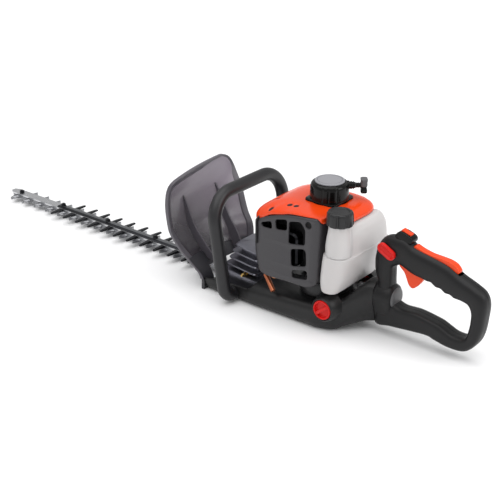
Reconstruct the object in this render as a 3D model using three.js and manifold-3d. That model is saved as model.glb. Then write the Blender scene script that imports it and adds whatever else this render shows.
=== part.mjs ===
// Petrol hedge trimmer with a double-sided cutter and a swivelling rear handle.
// Millimetres. +X runs along the cutter to its tip, +Y is the operator's left, +Z is up.
// The origin is on the ground under the engine's upright crankshaft.

import * as THREE from 'three';
import { mergeVertices } from 'three/addons/utils/BufferGeometryUtils.js';
import { ConvexGeometry } from 'three/addons/geometries/ConvexGeometry.js';
import Module from 'manifold-3d';

const wasm = await Module();
wasm.setup();

// ---------------------------------------------------------------- driving dimensions

const GAP = 0.3; // between pieces that touch
const RUN_GAP = 0.4; // between pieces that slide on each other

// Cutter
const TOOTH_PITCH = 35;
const BLADE_THICKNESS = 2.5;
const BLADE_Z = 9; // underside of the lower blade
const TEETH_REAR = 240; // no tooth stands further back than this
const BLADE_HALF_WIDTH = 11; // of the spine between the teeth
const BLADE_TOOTH_REACH = 26; // tooth tips, from the centreline
const BAR_TIP = 803;
const BLADE_FRONT = BAR_TIP - 10;
const FIRST_BLADE_TOOTH = BLADE_FRONT - 12;
const RIGHT_TOOTH_SHIFT = -23.5; // the right teeth are staggered against the left ones
const STROKE = 8.75; // of each blade, either way from its middle
const BAR_HALF_WIDTH = 9.5;
const BAR_THICKNESS = 3.6;
const BAR_REAR = 182;
const GUARD_TOOTH_REACH = 36;
const GUARD_THICKNESS = 3;
const GUARD_HALF_WIDTH = 14;
const GUARD_FRONT = BAR_TIP - 140;
const GUARD_REAR = 222;
const FIRST_GUARD_TOOTH = GUARD_FRONT - 15;
const BOLT_COUNT = 4;
const BOLT_RADIUS = 3;
const FIRST_BOLT_X = BAR_TIP - 27;
const BOLT_SPACING = 127;

// Gear case
const WALL = 4;
const CASE_FRONT = 206;
const CASE_FRONT_HALF_WIDTH = 38;
const CASE_BOTTOM = 4.9;
const CASE_TOP = 37;
const GEAR_MODULE = 2.4;
const GEAR_TEETH = 40;
const PINION_TEETH = 10;
const GEAR_Z = 24;
const GEAR_THICKNESS = 8;
const ECCENTRIC_RADIUS = 12;
const YOKE_THICKNESS = 3.3;
const YOKE_WALL = 6;
const FIN_PITCH = 12;
const FIN_THICKNESS = 3;
const FIN_COUNT = 5;
const FIN_REAR = 114;
const FIN_FRONT = 194;
const FIN_REAR_HALF_WIDTH = 52;
const FIN_FRONT_HALF_WIDTH = 42;
const CAM_SHAFT_RADIUS = 8;
const DRUM_SHAFT_RADIUS = 7;
const BOSS_HEIGHT = 7; // of the shaft boss on the case's roof

// Clutch and engine
const DRUM_RADIUS = 37;
const DRUM_WALL = 3;
const DRUM_Z = 46;
const DRUM_HEIGHT = 16;
const SHOE_TRAVEL = 0.8;
const CRANK_RADIUS = 14; // half the piston's stroke
const ROD_LENGTH = 48;
const WRIST_PIN_RADIUS = 3.5;
const CYLINDER_Z = 118; // height of the cylinder's axis
const BORE_RADIUS = 16;
const SHAFT_RADIUS = 8;
const CRANKCASE_RADIUS = 36;
const COOLING_FINS = 5;
const FLYWHEEL_RADIUS = 34;

// Starter
const STARTER_RADIUS = 32;
const STARTER_TOP = 234;
const STARTER_PLATE_HALF = 33;
const STARTER_PLATE_Z = 194;
const PULL_ANGLE = 219; // degrees round the crankshaft from +X
const ROPE_Z = 227;

// Covers
const COVER_WALL = 2.5;
const MUFFLER_FACE_Y = 80;
const MUFFLER_COVER_DEPTH = 32;
const MUFFLER_OUTER_Y = 64;

// Tank
const TANK_FRONT = -38.6;
const TANK_WALL = 2;
const NECK = { x: -63, y: 60, radius: 17.5, top: 198 };
const CAP_RADIUS = 22;
const CAP_Z = 196;
const CAP_HEIGHT = 22;

// Base frame, front handle and hand guard
const BASE_FLOOR = 2.5;
const BASE_WALL = 3.5;
const BAIL_RADIUS = 11.5;
const BAIL_HALF_WIDTH = 92;
const BAIL_TOP = 189;
const BAIL_CORNER = 47;
const BAIL_FOOT = { x: 145, z: 15, corner: 16 };
const BAIL_LEAN = 0.16; // forward, per unit of height
const BASE_CLEARANCE = 1.9; // between the gear case and the base's walls
const SHIELD_WALL = 3.2;
const SHIELD_BOW = 14; // how far the middle stands forward of the edges
const SHIELD_FOOT_X = 212;

// Rear handle
const SEAM_X = -105; // the swivel face
const SWIVEL_Z = 67;
const HUB_RADIUS = 23;
const HUB_DEPTH = 31; // of the swivel's barrel, back from the swivel face
const HANDLE_HALF_WIDTH = 16;
const HANDLE_WALL = 3;
const SWIVEL_BOLT_RADIUS = 6;

// ---------------------------------------------------------------- finishes

const FINISH = {
  blackPlastic: { color: 0x2a2b2e, roughness: 0.6, metalness: 0 },
  greyPlastic: { color: 0x56565c, roughness: 0.55, metalness: 0 },
  orangePlastic: { color: 0xf0562a, roughness: 0.35, metalness: 0 },
  redPlastic: { color: 0xe63e2a, roughness: 0.4, metalness: 0 },
  smokedPlastic: { color: 0x6a6070, roughness: 0.2, metalness: 0 },
  tankPlastic: { color: 0xeeeeec, roughness: 0.45, metalness: 0 },
  rubber: { color: 0x3a3b3f, roughness: 0.8, metalness: 0 },
  castAluminium: { color: 0xb9bcc2, roughness: 0.4, metalness: 0.9 },
  bladeSteel: { color: 0x9a9da3, roughness: 0.35, metalness: 1 },
  blackSteel: { color: 0x3b3e43, roughness: 0.5, metalness: 0.8 },
  brightSteel: { color: 0xc4c6ca, roughness: 0.25, metalness: 1 },
  brass: { color: 0xc9a24a, roughness: 0.35, metalness: 1 },
  copper: { color: 0xb06a45, roughness: 0.4, metalness: 1 },
};

// ---------------------------------------------------------------- making solids

const X_AXIS = new THREE.Vector3(1, 0, 0);
const Y_AXIS = new THREE.Vector3(0, 1, 0);
const Z_AXIS = new THREE.Vector3(0, 0, 1);

// A drawing plane: where an outline's two directions and its depth point.
const PLAN = { basis: new THREE.Matrix4(), flip: false };
const SIDE = {
  basis: new THREE.Matrix4().makeBasis(X_AXIS, Z_AXIS, Y_AXIS.clone().negate()),
  flip: true,
};
const CROSS = { basis: new THREE.Matrix4().makeBasis(Y_AXIS, Z_AXIS, X_AXIS), flip: false };

function solidOf(geometry) {
  const bare = geometry.clone();
  for (const name of Object.keys(bare.attributes)) {
    if (name !== 'position') bare.deleteAttribute(name);
  }
  const merged = mergeVertices(bare, 1e-4);
  const vertProperties = new Float32Array(merged.attributes.position.array);
  const triVerts = new Uint32Array(merged.index.array);
  return new wasm.Manifold(new wasm.Mesh({ numProp: 3, vertProperties, triVerts }));
}

function geometryOf(solid) {
  const mesh = solid.getMesh();
  const geometry = new THREE.BufferGeometry();
  geometry.setAttribute('position', new THREE.BufferAttribute(mesh.vertProperties, 3));
  geometry.setIndex(new THREE.BufferAttribute(mesh.triVerts, 1));
  geometry.computeVertexNormals();
  return geometry;
}

// An outline pushed through from one depth to another, with bevelled ends if asked.
function prism(plane, outline, from, to, { holes = [], bevel = 0, bevelSteps = 1 } = {}) {
  const toPath = (points, Kind) => new Kind(points.map(([u, v]) => new THREE.Vector2(u, v)));
  const shape = toPath(outline, THREE.Shape);
  shape.holes = holes.map((hole) => toPath(hole, THREE.Path));
  const geometry = new THREE.ExtrudeGeometry(shape, {
    depth: to - from - 2 * bevel,
    bevelEnabled: bevel > 0,
    bevelThickness: bevel,
    bevelSize: bevel,
    bevelOffset: -bevel,
    bevelSegments: bevelSteps,
  });
  geometry.translate(0, 0, (plane.flip ? -to : from) + bevel);
  geometry.applyMatrix4(plane.basis);
  return solidOf(geometry);
}

function block([x0, x1], [y0, y1], [z0, z1]) {
  const geometry = new THREE.BoxGeometry(x1 - x0, y1 - y0, z1 - z0);
  geometry.translate((x0 + x1) / 2, (y0 + y1) / 2, (z0 + z1) / 2);
  return solidOf(geometry);
}

// A round bar or cone between two points.
function bar(from, to, radius, sides = 16, endRadius = radius) {
  const start = new THREE.Vector3(...from);
  const along = new THREE.Vector3(...to).sub(start);
  const geometry = new THREE.CylinderGeometry(endRadius, radius, along.length(), sides);
  geometry.translate(0, along.length() / 2, 0);
  geometry.applyQuaternion(new THREE.Quaternion().setFromUnitVectors(Y_AXIS, along.normalize()));
  geometry.translate(start.x, start.y, start.z);
  return solidOf(geometry);
}

function upright(x, y, z0, z1, radius, sides = 16) {
  return bar([x, y, z0], [x, y, z1], radius, sides);
}

function ring(x, y, z0, z1, outer, inner, sides = 16) {
  return upright(x, y, z0, z1, outer, sides).subtract(upright(x, y, z0 - 1, z1 + 1, inner, sides));
}

function join(first, ...others) {
  return others.reduce((whole, other) => whole.add(other), first);
}

function cut(first, ...others) {
  return others.reduce((whole, other) => whole.subtract(other), first);
}

// The tight skin round rings of points.
function skin(...rings) {
  const points = rings.flat().map((point) => new THREE.Vector3(...point));
  return solidOf(new ConvexGeometry(points));
}

// Skins joined one after another, each round two neighbouring sections.
function lofted(sections) {
  const spans = sections.slice(1).map((section, i) => skin(sections[i], section));
  return join(...spans);
}

function arc(u, v, radius, fromDegrees, toDegrees, steps) {
  const point = (i) => {
    const angle = ((fromDegrees + ((toDegrees - fromDegrees) * i) / steps) * Math.PI) / 180;
    return [u + radius * Math.cos(angle), v + radius * Math.sin(angle)];
  };
  return Array.from({ length: steps + 1 }, (_, i) => point(i));
}

function circle(u, v, radius, sides = 24) {
  return arc(u, v, radius, 0, 360, sides).slice(0, -1);
}

function roundedRectangle([u0, u1], [v0, v1], radius, steps = 3) {
  return [
    ...arc(u1 - radius, v1 - radius, radius, 0, 90, steps),
    ...arc(u0 + radius, v1 - radius, radius, 90, 180, steps),
    ...arc(u0 + radius, v0 + radius, radius, 180, 270, steps),
    ...arc(u1 - radius, v0 + radius, radius, 270, 360, steps),
  ];
}

// A slot with round ends, along the first direction.
function slot(u, v, halfLength, radius, steps = 5) {
  return [
    ...arc(u + halfLength - radius, v, radius, -90, 90, steps),
    ...arc(u - halfLength + radius, v, radius, 90, 270, steps),
  ];
}

function area(points) {
  return points.reduce((sum, [u, v], i) => {
    const [nextU, nextV] = points[(i + 1) % points.length];
    return sum + (u * nextV - nextU * v) / 2;
  }, 0);
}

// An outline moved inwards by a distance (outwards if negative).
function inset(points, distance) {
  const turn = Math.sign(area(points));
  const edge = (a, b) => {
    const length = Math.hypot(b[0] - a[0], b[1] - a[1]);
    return [(b[0] - a[0]) / length, (b[1] - a[1]) / length];
  };
  return points.map((point, i) => {
    const before = edge(points.at(i - 1), point);
    const after = edge(point, points[(i + 1) % points.length]);
    const normal = [-(before[1] + after[1]) * turn, (before[0] + after[0]) * turn];
    const scale = (2 * distance) / (normal[0] ** 2 + normal[1] ** 2);
    return [point[0] + normal[0] * scale, point[1] + normal[1] * scale];
  });
}

// An outline's sharp corners cut into short arcs.
function softened(points, radius, steps = 2) {
  return points.flatMap((point, i) => {
    const before = points.at(i - 1);
    const after = points[(i + 1) % points.length];
    const pull = (other) => {
      const length = Math.hypot(other[0] - point[0], other[1] - point[1]);
      const t = Math.min(radius, length * 0.45) / length;
      return new THREE.Vector2(point[0] + (other[0] - point[0]) * t, point[1] + (other[1] - point[1]) * t);
    };
    const bend = new THREE.QuadraticBezierCurve(pull(before), new THREE.Vector2(...point), pull(after));
    return bend.getPoints(steps).map((p) => [p.x, p.y]);
  });
}

// A piecewise straight function through [input, output] pairs.
function through(pairs) {
  return (input) => {
    const next = Math.max(1, Math.min(pairs.length - 1, pairs.findIndex(([a]) => a >= input)));
    const [a, fromValue] = pairs[next - 1];
    const [b, toValue] = pairs[next];
    return fromValue + ((toValue - fromValue) * (input - a)) / (b - a);
  };
}

const trimmer = new THREE.Group();

function part(name, solid, finish) {
  const mesh = new THREE.Mesh(geometryOf(solid), new THREE.MeshStandardMaterial(finish));
  mesh.name = name;
  trimmer.add(mesh);
}

// ---------------------------------------------------------------- cutter

const upperBladeZ = BLADE_Z + BLADE_THICKNESS + RUN_GAP;
const barZ = upperBladeZ + BLADE_THICKNESS + RUN_GAP;
const bladeTail = 148;
const pinionRadius = (GEAR_MODULE * PINION_TEETH) / 2;
const camX = (GEAR_MODULE * (PINION_TEETH + GEAR_TEETH)) / 2;
const boltXs = Array.from({ length: BOLT_COUNT }, (_, i) => FIRST_BOLT_X - i * BOLT_SPACING);

// One side of a comb: teeth that narrow to blunt tips, from the front backwards.
function combEdge(side, firstX, { root, tip, rootHalf, tipHalf, lean }) {
  const count = Math.floor((firstX - TEETH_REAR) / TOOTH_PITCH) + 1;
  return Array.from({ length: count }, (_, i) => firstX - i * TOOTH_PITCH).flatMap((x) => [
    [x + rootHalf + lean, side * root],
    [x + tipHalf, side * tip],
    [x - tipHalf, side * tip],
    [x - rootHalf + lean, side * root],
  ]);
}

function comb(firstX, front, rear, shape) {
  const left = combEdge(1, firstX, shape);
  const right = combEdge(-1, firstX + RIGHT_TOOTH_SHIFT, shape).reverse();
  const nose = shape.root * 0.6;
  return [[front, nose], ...left, [rear, shape.root], [rear, -shape.root], ...right, [front, -nose]];
}

const bladeTooth = { root: BLADE_HALF_WIDTH, tip: BLADE_TOOTH_REACH, rootHalf: 8, tipHalf: 2.2, lean: 1.5 };
const slotHalf = STROKE + BOLT_RADIUS + 3 * GAP;
const bladeOutline = comb(FIRST_BLADE_TOOTH, BLADE_FRONT, bladeTail, bladeTooth);
const bladeSlots = boltXs.map((x) => slot(x, 0, slotHalf, BOLT_RADIUS + GAP, 3).reverse());

for (const [name, z] of [['lower_blade', BLADE_Z], ['upper_blade', upperBladeZ]]) {
  part(name, prism(PLAN, bladeOutline, z, z + BLADE_THICKNESS, { holes: bladeSlots }), FINISH.bladeSteel);
}

const barTop = barZ + BAR_THICKNESS;
const barOutline = [
  [BAR_REAR, -BAR_HALF_WIDTH],
  [BAR_TIP - 10, -BAR_HALF_WIDTH],
  [BAR_TIP, -BAR_HALF_WIDTH / 2],
  [BAR_TIP, BAR_HALF_WIDTH / 2],
  [BAR_TIP - 10, BAR_HALF_WIDTH],
  [BAR_REAR, BAR_HALF_WIDTH],
];
const barHoles = boltXs.map((x) => circle(x, 0, BOLT_RADIUS + GAP, 12).reverse());
part('guide_bar', prism(PLAN, barOutline, barZ, barTop, { holes: barHoles }), FINISH.brightSteel);

// The tooth guard is a toothed tray with a raised rib over the guide bar.
const guardTooth = { root: GUARD_HALF_WIDTH, tip: GUARD_TOOTH_REACH, rootHalf: 5.5, tipHalf: 3.4, lean: 0 };
const ribTop = barTop + GAP + GUARD_THICKNESS;
const guardOutline = comb(FIRST_GUARD_TOOTH, GUARD_FRONT, GUARD_REAR, guardTooth);
const channelHalf = BAR_HALF_WIDTH + GAP;
const ribHalf = GUARD_HALF_WIDTH - 1;
const ribSection = [
  [-ribHalf, barZ],
  [ribHalf, barZ],
  [ribHalf, ribTop - 2],
  [ribHalf - 3, ribTop],
  [3 - ribHalf, ribTop],
  [-ribHalf, ribTop - 2],
];
let guard = prism(PLAN, guardOutline, barZ, barZ + GUARD_THICKNESS);
guard = guard.add(prism(CROSS, ribSection, GUARD_REAR, GUARD_FRONT - 4));
guard = guard.subtract(block([GUARD_REAR - 9, GUARD_FRONT + 9], [-channelHalf, channelHalf], [0, barTop + GAP]));
for (const x of boltXs.slice(1)) {
  guard = guard.subtract(upright(x, 0, 0, ribTop + 1, BOLT_RADIUS + GAP, 12));
}
part('tooth_guard', guard, FINISH.blackSteel);

boltXs.forEach((x, i) => {
  const seat = (x > GUARD_FRONT ? barTop : ribTop) + GAP;
  const head = upright(x, 0, BLADE_Z - GAP - 3.2, BLADE_Z - GAP, 5.5, 6);
  const shank = upright(x, 0, BLADE_Z - 1, seat + 4.5, BOLT_RADIUS, 12);
  const nut = upright(x, 0, seat, seat + 3, 5.2, 6);
  part(`blade_bolt_${i + 1}`, join(head, shank, nut), FINISH.brightSteel);
});

// ---------------------------------------------------------------- gear case

// A gear's outline: straight-sided teeth, a little narrow so that the pair runs free.
function gearOutline(x, teeth, phase) {
  const pitchRadius = (GEAR_MODULE * teeth) / 2;
  const step = (2 * Math.PI) / teeth;
  const corner = (radius, angle) => [x + radius * Math.cos(angle), radius * Math.sin(angle)];
  return Array.from({ length: teeth }, (_, i) => (i + phase) * step).flatMap((angle) => [
    corner(pitchRadius - 1.2 * GEAR_MODULE, angle - 0.3 * step),
    corner(pitchRadius + 0.85 * GEAR_MODULE, angle - 0.1 * step),
    corner(pitchRadius + 0.85 * GEAR_MODULE, angle + 0.1 * step),
    corner(pitchRadius - 1.2 * GEAR_MODULE, angle + 0.3 * step),
  ]);
}

const gearTop = GEAR_Z + GEAR_THICKNESS;
const gearRadius = (GEAR_MODULE * GEAR_TEETH) / 2;
const gearTip = gearRadius + GEAR_MODULE;
const caseRadius = gearTip + 2.2 + WALL;
const soleHalf = caseRadius + BASE_CLEARANCE + BASE_WALL; // half width of the base's flat underside
const shoulderHalf = soleHalf + 4; // half width of the base where the front handle meets it
const lowerYokeZ = CASE_BOTTOM + 0.5;
const yokeZs = { lower: lowerYokeZ, upper: barZ - 0.1 };

// The case is the tight outline round the gear, the clutch seat and the cutter's mouth.
function caseOutline(margin) {
  const front = CASE_FRONT - margin;
  const half = CASE_FRONT_HALF_WIDTH - margin;
  return {
    gear: circle(camX, 0, caseRadius - margin, 24),
    clutch: circle(0, 0, DRUM_RADIUS + 9 - margin, 20),
    mouth: [[front, half - 6], [front - 6, half], [front - 6, -half], [front, 6 - half]],
  };
}

function casePrism(margin, z0, z1) {
  const { gear, clutch, mouth } = caseOutline(margin);
  const at = (z) => [...gear, ...clutch, ...mouth].map(([x, y]) => [x, y, z]);
  return skin(at(z0), at(z1));
}

const finCoreHalf = FIN_FRONT_HALF_WIDTH - 8;
const finTop = (i) => CASE_TOP + i * FIN_PITCH;
let gearCase = casePrism(0, CASE_BOTTOM, CASE_TOP);
const bossTop = CASE_TOP + BOSS_HEIGHT;
gearCase = gearCase.add(upright(camX, 0, CASE_TOP - 1, bossTop, CAM_SHAFT_RADIUS + WALL));
gearCase = gearCase.add(upright(0, 0, CASE_TOP - 1, bossTop, DRUM_SHAFT_RADIUS + WALL));
const finStack = prism(
  PLAN,
  [[FIN_REAR + 6, -finCoreHalf], [FIN_FRONT - 10, 8 - finCoreHalf], [FIN_FRONT - 10, finCoreHalf - 8],
    [FIN_REAR + 6, finCoreHalf]],
  CASE_TOP - 1,
  finTop(FIN_COUNT) - 10,
);
gearCase = gearCase.add(finStack);
for (let i = 1; i < FIN_COUNT; i += 1) {
  const shrink = i * 2.5;
  const fin = softened(
    [[FIN_REAR, -FIN_REAR_HALF_WIDTH + shrink], [FIN_FRONT - shrink * 2, -FIN_FRONT_HALF_WIDTH + shrink],
      [FIN_FRONT - shrink * 2, FIN_FRONT_HALF_WIDTH - shrink], [FIN_REAR, FIN_REAR_HALF_WIDTH - shrink]],
    6,
  );
  gearCase = gearCase.add(prism(PLAN, fin, finTop(i) - FIN_THICKNESS, finTop(i)));
}
const { gear: gearHollow, clutch: clutchHollow, mouth: mouthHollow } = caseOutline(WALL);
const pinionHollow = circle(0, 0, pinionRadius + GEAR_MODULE + 3, 20);
const hollow = [...gearHollow, ...pinionHollow, ...mouthHollow];
gearCase = cut(
  gearCase,
  skin(hollow.map(([x, y]) => [x, y, 0]), hollow.map(([x, y]) => [x, y, gearTop + 1.2])),
  upright(camX, 0, GEAR_Z, bossTop + 1, CAM_SHAFT_RADIUS + GAP),
  upright(0, 0, GEAR_Z, bossTop + 1, DRUM_SHAFT_RADIUS + GAP),
  block([CASE_FRONT - 20, CASE_FRONT + 9], [-BLADE_HALF_WIDTH - 1.5, BLADE_HALF_WIDTH + 1.5], [0, barTop + GAP]),
);
part('gear_case', gearCase, FINISH.castAluminium);

const coverOutline = [...circle(camX, 0, caseRadius - 1, 24), ...circle(0, 0, DRUM_RADIUS + 8, 20)];
const coverMouth = caseOutline(1).mouth;
const coverRing = (z) => [...coverOutline, ...coverMouth].map(([x, y]) => [x, y, z]);
part(
  'gear_case_cover',
  skin(coverRing(BASE_FLOOR + GAP), coverRing(CASE_BOTTOM - GAP)),
  FINISH.castAluminium,
);

// The cam gear: a spur gear on a stub shaft, with two eccentrics under it half a turn apart.
const eccentric = (side, z) => upright(camX, side * STROKE, z - 0.2, z + YOKE_THICKNESS + 0.2, ECCENTRIC_RADIUS);
let camGear = prism(PLAN, gearOutline(camX, GEAR_TEETH, 0), GEAR_Z, gearTop);
camGear = join(
  camGear,
  upright(camX, 0, lowerYokeZ, bossTop - 1, CAM_SHAFT_RADIUS),
  eccentric(1, yokeZs.upper),
  eccentric(-1, yokeZs.lower),
);
part('cam_gear', camGear, FINISH.brightSteel);

const pinionTeeth = prism(PLAN, gearOutline(0, PINION_TEETH, 0.5), GEAR_Z, gearTop);
part('drive_pinion', join(pinionTeeth, upright(0, 0, gearTop - 1, DRUM_Z + 4, DRUM_SHAFT_RADIUS)), FINISH.brightSteel);

// Each yoke is a plate round its eccentric, with an arm that carries a blade's tail.
// The window is long both ways, so blade and eccentric move freely of each other.
const windowX = ECCENTRIC_RADIUS + 2 * STROKE + 0.6;
const windowY = ECCENTRIC_RADIUS + STROKE + 0.6;
for (const [name, z] of Object.entries(yokeZs)) {
  const outer = [
    ...arc(camX + windowX - 6, windowY, YOKE_WALL, 60, 90, 2),
    [camX - windowX, windowY + YOKE_WALL],
    [camX - windowX - YOKE_WALL, windowY],
    [camX - windowX - YOKE_WALL, -windowY],
    [camX - windowX, -windowY - YOKE_WALL],
    ...arc(camX + windowX - 6, -windowY, YOKE_WALL, -90, -60, 2),
    [camX + windowX + YOKE_WALL, -windowY + 6],
    [camX + windowX + 14, -BLADE_HALF_WIDTH],
    [bladeTail + 17, -BLADE_HALF_WIDTH],
    [bladeTail + 17, BLADE_HALF_WIDTH],
    [camX + windowX + 14, BLADE_HALF_WIDTH],
    [camX + windowX + YOKE_WALL, windowY - 6],
  ];
  const window = roundedRectangle([camX - windowX, camX + windowX], [-windowY, windowY], 9);
  const plate = prism(PLAN, outer, z, z + YOKE_THICKNESS, { holes: [window.reverse()] });
  part(`${name}_blade_yoke`, plate, FINISH.brightSteel);
}

const nippleX = 140;
const nippleZ = CASE_TOP + (FIN_PITCH - FIN_THICKNESS) / 2;
part(
  'grease_nipple',
  join(
    bar([nippleX, finCoreHalf + GAP, nippleZ], [nippleX, finCoreHalf + 8, nippleZ], 4.2, 6),
    bar([nippleX, finCoreHalf + 7, nippleZ], [nippleX, finCoreHalf + 17, nippleZ], 3, 12),
    bar([nippleX, finCoreHalf + 16, nippleZ], [nippleX, finCoreHalf + 20, nippleZ], 3.6, 12, 2),
  ),
  FINISH.brass,
);

// ---------------------------------------------------------------- clutch

const drumInner = DRUM_RADIUS - DRUM_WALL;
const drumTop = DRUM_Z + DRUM_HEIGHT;
part(
  'clutch_drum',
  cut(
    upright(0, 0, DRUM_Z, drumTop, DRUM_RADIUS, 24),
    upright(0, 0, DRUM_Z + DRUM_WALL, drumTop + 1, drumInner, 24),
    upright(0, 0, DRUM_Z - 1, drumTop, DRUM_SHAFT_RADIUS + GAP),
  ),
  FINISH.blackSteel,
);

const shoeZ = DRUM_Z + DRUM_WALL + 2;
const shoeRadius = drumInner - SHOE_TRAVEL - 0.3;
for (const [name, side] of [['left', 1], ['right', -1]]) {
  const half = side > 0 ? [1.5, 60] : [-60, -1.5];
  const shoe = ring(0, 0, shoeZ, shoeZ + 9, shoeRadius, 11.5, 24).intersect(block([-60, 60], half, [0, 99]));
  part(`clutch_shoe_${name}`, shoe, FINISH.blackSteel);
}

const clutchTop = 70;
const seatZ = 84; // where the engine's crankcase begins
part(
  'clutch_housing',
  cut(
    join(
      upright(0, 0, CASE_TOP + GAP, clutchTop, DRUM_RADIUS + 7, 24),
      upright(0, 0, clutchTop - 1, seatZ - GAP, 20),
    ),
    upright(0, 0, CASE_TOP - 1, clutchTop - WALL, DRUM_RADIUS + 3, 24),
    upright(0, 0, CASE_TOP, seatZ + 1, SHAFT_RADIUS + 1),
    bar([0, -70, 54], [0, 0, 54], 9, 12),
  ),
  FINISH.castAluminium,
);

// ---------------------------------------------------------------- crankshaft and piston

const rodHalf = 3;
const wristX = Math.sqrt(ROD_LENGTH ** 2 - CRANK_RADIUS ** 2);
const webRadius = 20;
const pinRadius = 5;
const webGap = 8; // from the cylinder's axis to each web
const webThickness = 8;
const pinEnd = rodHalf + GAP; // the crankpin stops just short of the rod's eye

function crankHalf(side, shaftEnd) {
  const z = (offset) => CYLINDER_Z + side * offset;
  const low = (a, b) => [Math.min(z(a), z(b)), Math.max(z(a), z(b))];
  const [web0, web1] = low(webGap, webGap + webThickness);
  const [pin0, pin1] = low(pinEnd, webGap + 1);
  const shaftFrom = z(webGap + webThickness - 1);
  const shaft = upright(0, 0, Math.min(shaftFrom, shaftEnd), Math.max(shaftFrom, shaftEnd), SHAFT_RADIUS);
  const web = upright(0, 0, web0, web1, webRadius);
  return join(shaft, web, upright(0, CRANK_RADIUS, pin0, pin1, pinRadius, 16));
}

part('crankshaft_lower', crankHalf(-1, shoeZ), FINISH.brightSteel);
part('crankshaft_upper', crankHalf(1, 188), FINISH.brightSteel);

const rodBar = new THREE.Vector3(-wristX, CRANK_RADIUS, 0).normalize();
const rodAt = (distance) => [wristX + rodBar.x * distance, rodBar.y * distance];
const eye = (distance, radius) => {
  const [x, y] = rodAt(distance);
  return upright(x, y, CYLINDER_Z - rodHalf, CYLINDER_Z + rodHalf, radius, 20);
};
const rodCorners = [[6, 3.2], [ROD_LENGTH - 7, 4], [ROD_LENGTH - 7, -4], [6, -3.2]].map(([distance, offset]) => {
  const [x, y] = rodAt(distance);
  return [x - rodBar.y * offset, y + rodBar.x * offset];
});
part(
  'connecting_rod',
  cut(
    join(
      eye(0, 7),
      eye(ROD_LENGTH, 8.5),
      prism(PLAN, rodCorners, CYLINDER_Z - rodHalf, CYLINDER_Z + rodHalf),
    ),
    upright(wristX, 0, 0, 200, WRIST_PIN_RADIUS + GAP, 16),
    upright(...rodAt(ROD_LENGTH), 0, 200, pinRadius + GAP, 16),
  ),
  FINISH.brightSteel,
);

const pistonCrown = wristX + 10;
const pistonSkirt = wristX - 10;
const pistonRadius = BORE_RADIUS - 0.4;
const alongX = (x0, x1, radius, sides = 16) => bar([x0, 0, CYLINDER_Z], [x1, 0, CYLINDER_Z], radius, sides);
const wristPin = upright(
  wristX,
  0,
  CYLINDER_Z - pistonRadius + 1,
  CYLINDER_Z + pistonRadius - 1,
  WRIST_PIN_RADIUS,
  16,
);
part(
  'piston',
  cut(
    alongX(pistonSkirt, pistonCrown, pistonRadius),
    alongX(pistonSkirt - 1, pistonCrown - 2.5, pistonRadius - 2),
  ).add(wristPin),
  FINISH.castAluminium,
);

// ---------------------------------------------------------------- crankcase and cylinder

const cylinderFoot = 37;
const chamberRadius = webRadius + 10.5; // leaves room for the rod's eye at any piston height
const chamberHalf = webGap + webThickness + 1.5;
const crankcaseTop = 150;
const spigotRadius = BORE_RADIUS + 2.2;

function crankcaseHalf(z0, z1) {
  return cut(
    join(
      upright(0, 0, z0, z1, CRANKCASE_RADIUS, 24),
      block([0, cylinderFoot - GAP], [-25, 25], [Math.max(z0, CYLINDER_Z - 25), Math.min(z1, CYLINDER_Z + 25)]),
      block([TANK_FRONT + GAP, 0], [-12, 12], [Math.max(z0, 100), Math.min(z1, 136)]),
    ),
    upright(0, 0, CYLINDER_Z - chamberHalf, CYLINDER_Z + chamberHalf, chamberRadius),
    alongX(0, cylinderFoot + 1, spigotRadius + GAP),
    upright(0, 0, z0 - 1, z1 + 1, SHAFT_RADIUS + GAP),
  );
}

part('crankcase_lower', crankcaseHalf(seatZ, CYLINDER_Z - GAP / 2), FINISH.castAluminium);
part('crankcase_upper', crankcaseHalf(CYLINDER_Z + GAP / 2, crankcaseTop), FINISH.castAluminium);

const finHalf = 29;
const headInner = wristX + CRANK_RADIUS + (ROD_LENGTH - wristX) + 12;
const headOuter = headInner + 6;
const portX = 56;
const portFace = 34;
let cylinder = join(
  alongX(cylinderFoot - 4, headOuter, BORE_RADIUS + 3.5),
  block([cylinderFoot, cylinderFoot + 4], [-25, 25], [CYLINDER_Z - 25, CYLINDER_Z + 25]),
  block([portX - 13, portX + 13], [-portFace, portFace], [CYLINDER_Z - 11, CYLINDER_Z + 11]),
);
const finStep = (headOuter - cylinderFoot - 8) / (COOLING_FINS - 1);
for (let i = 0; i < COOLING_FINS; i += 1) {
  const x = cylinderFoot + 6 + i * finStep;
  const outline = roundedRectangle([-finHalf, finHalf], [CYLINDER_Z - finHalf, CYLINDER_Z + finHalf], 8, 1);
  cylinder = cylinder.add(prism(CROSS, outline, x, x + 2));
}
const plugAngle = (50 * Math.PI) / 180;
const plugAt = (distance) => [
  headOuter - 4 + distance * Math.cos(plugAngle),
  0,
  CYLINDER_Z + distance * Math.sin(plugAngle),
];
cylinder = cut(
  join(cylinder, bar(plugAt(-2), plugAt(8), 9)),
  bar(plugAt(8), plugAt(40), 9.5),
  alongX(0, headInner, BORE_RADIUS),
  bar([portX, -50, CYLINDER_Z], [portX, 50, CYLINDER_Z], 7, 16),
  bar(plugAt(-9), plugAt(9), 5 + GAP),
  block([cylinderFoot - 9, cylinderFoot - GAP], [-40, 40], [60, 180]).subtract(alongX(0, 60, spigotRadius)),
);
part('cylinder', cylinder, FINISH.castAluminium);
part(
  'spark_plug',
  join(bar(plugAt(2), plugAt(12), 5, 16), bar(plugAt(8 + GAP), plugAt(12), 8, 6), bar(plugAt(11), plugAt(22), 4, 16)),
  FINISH.brightSteel,
);
part(
  'plug_boot',
  bar(plugAt(14), plugAt(29), 7.5, 16).subtract(bar(plugAt(13), plugAt(23), 4 + GAP, 16)),
  FINISH.rubber,
);

// ---------------------------------------------------------------- flywheel, coil and starter

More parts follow.
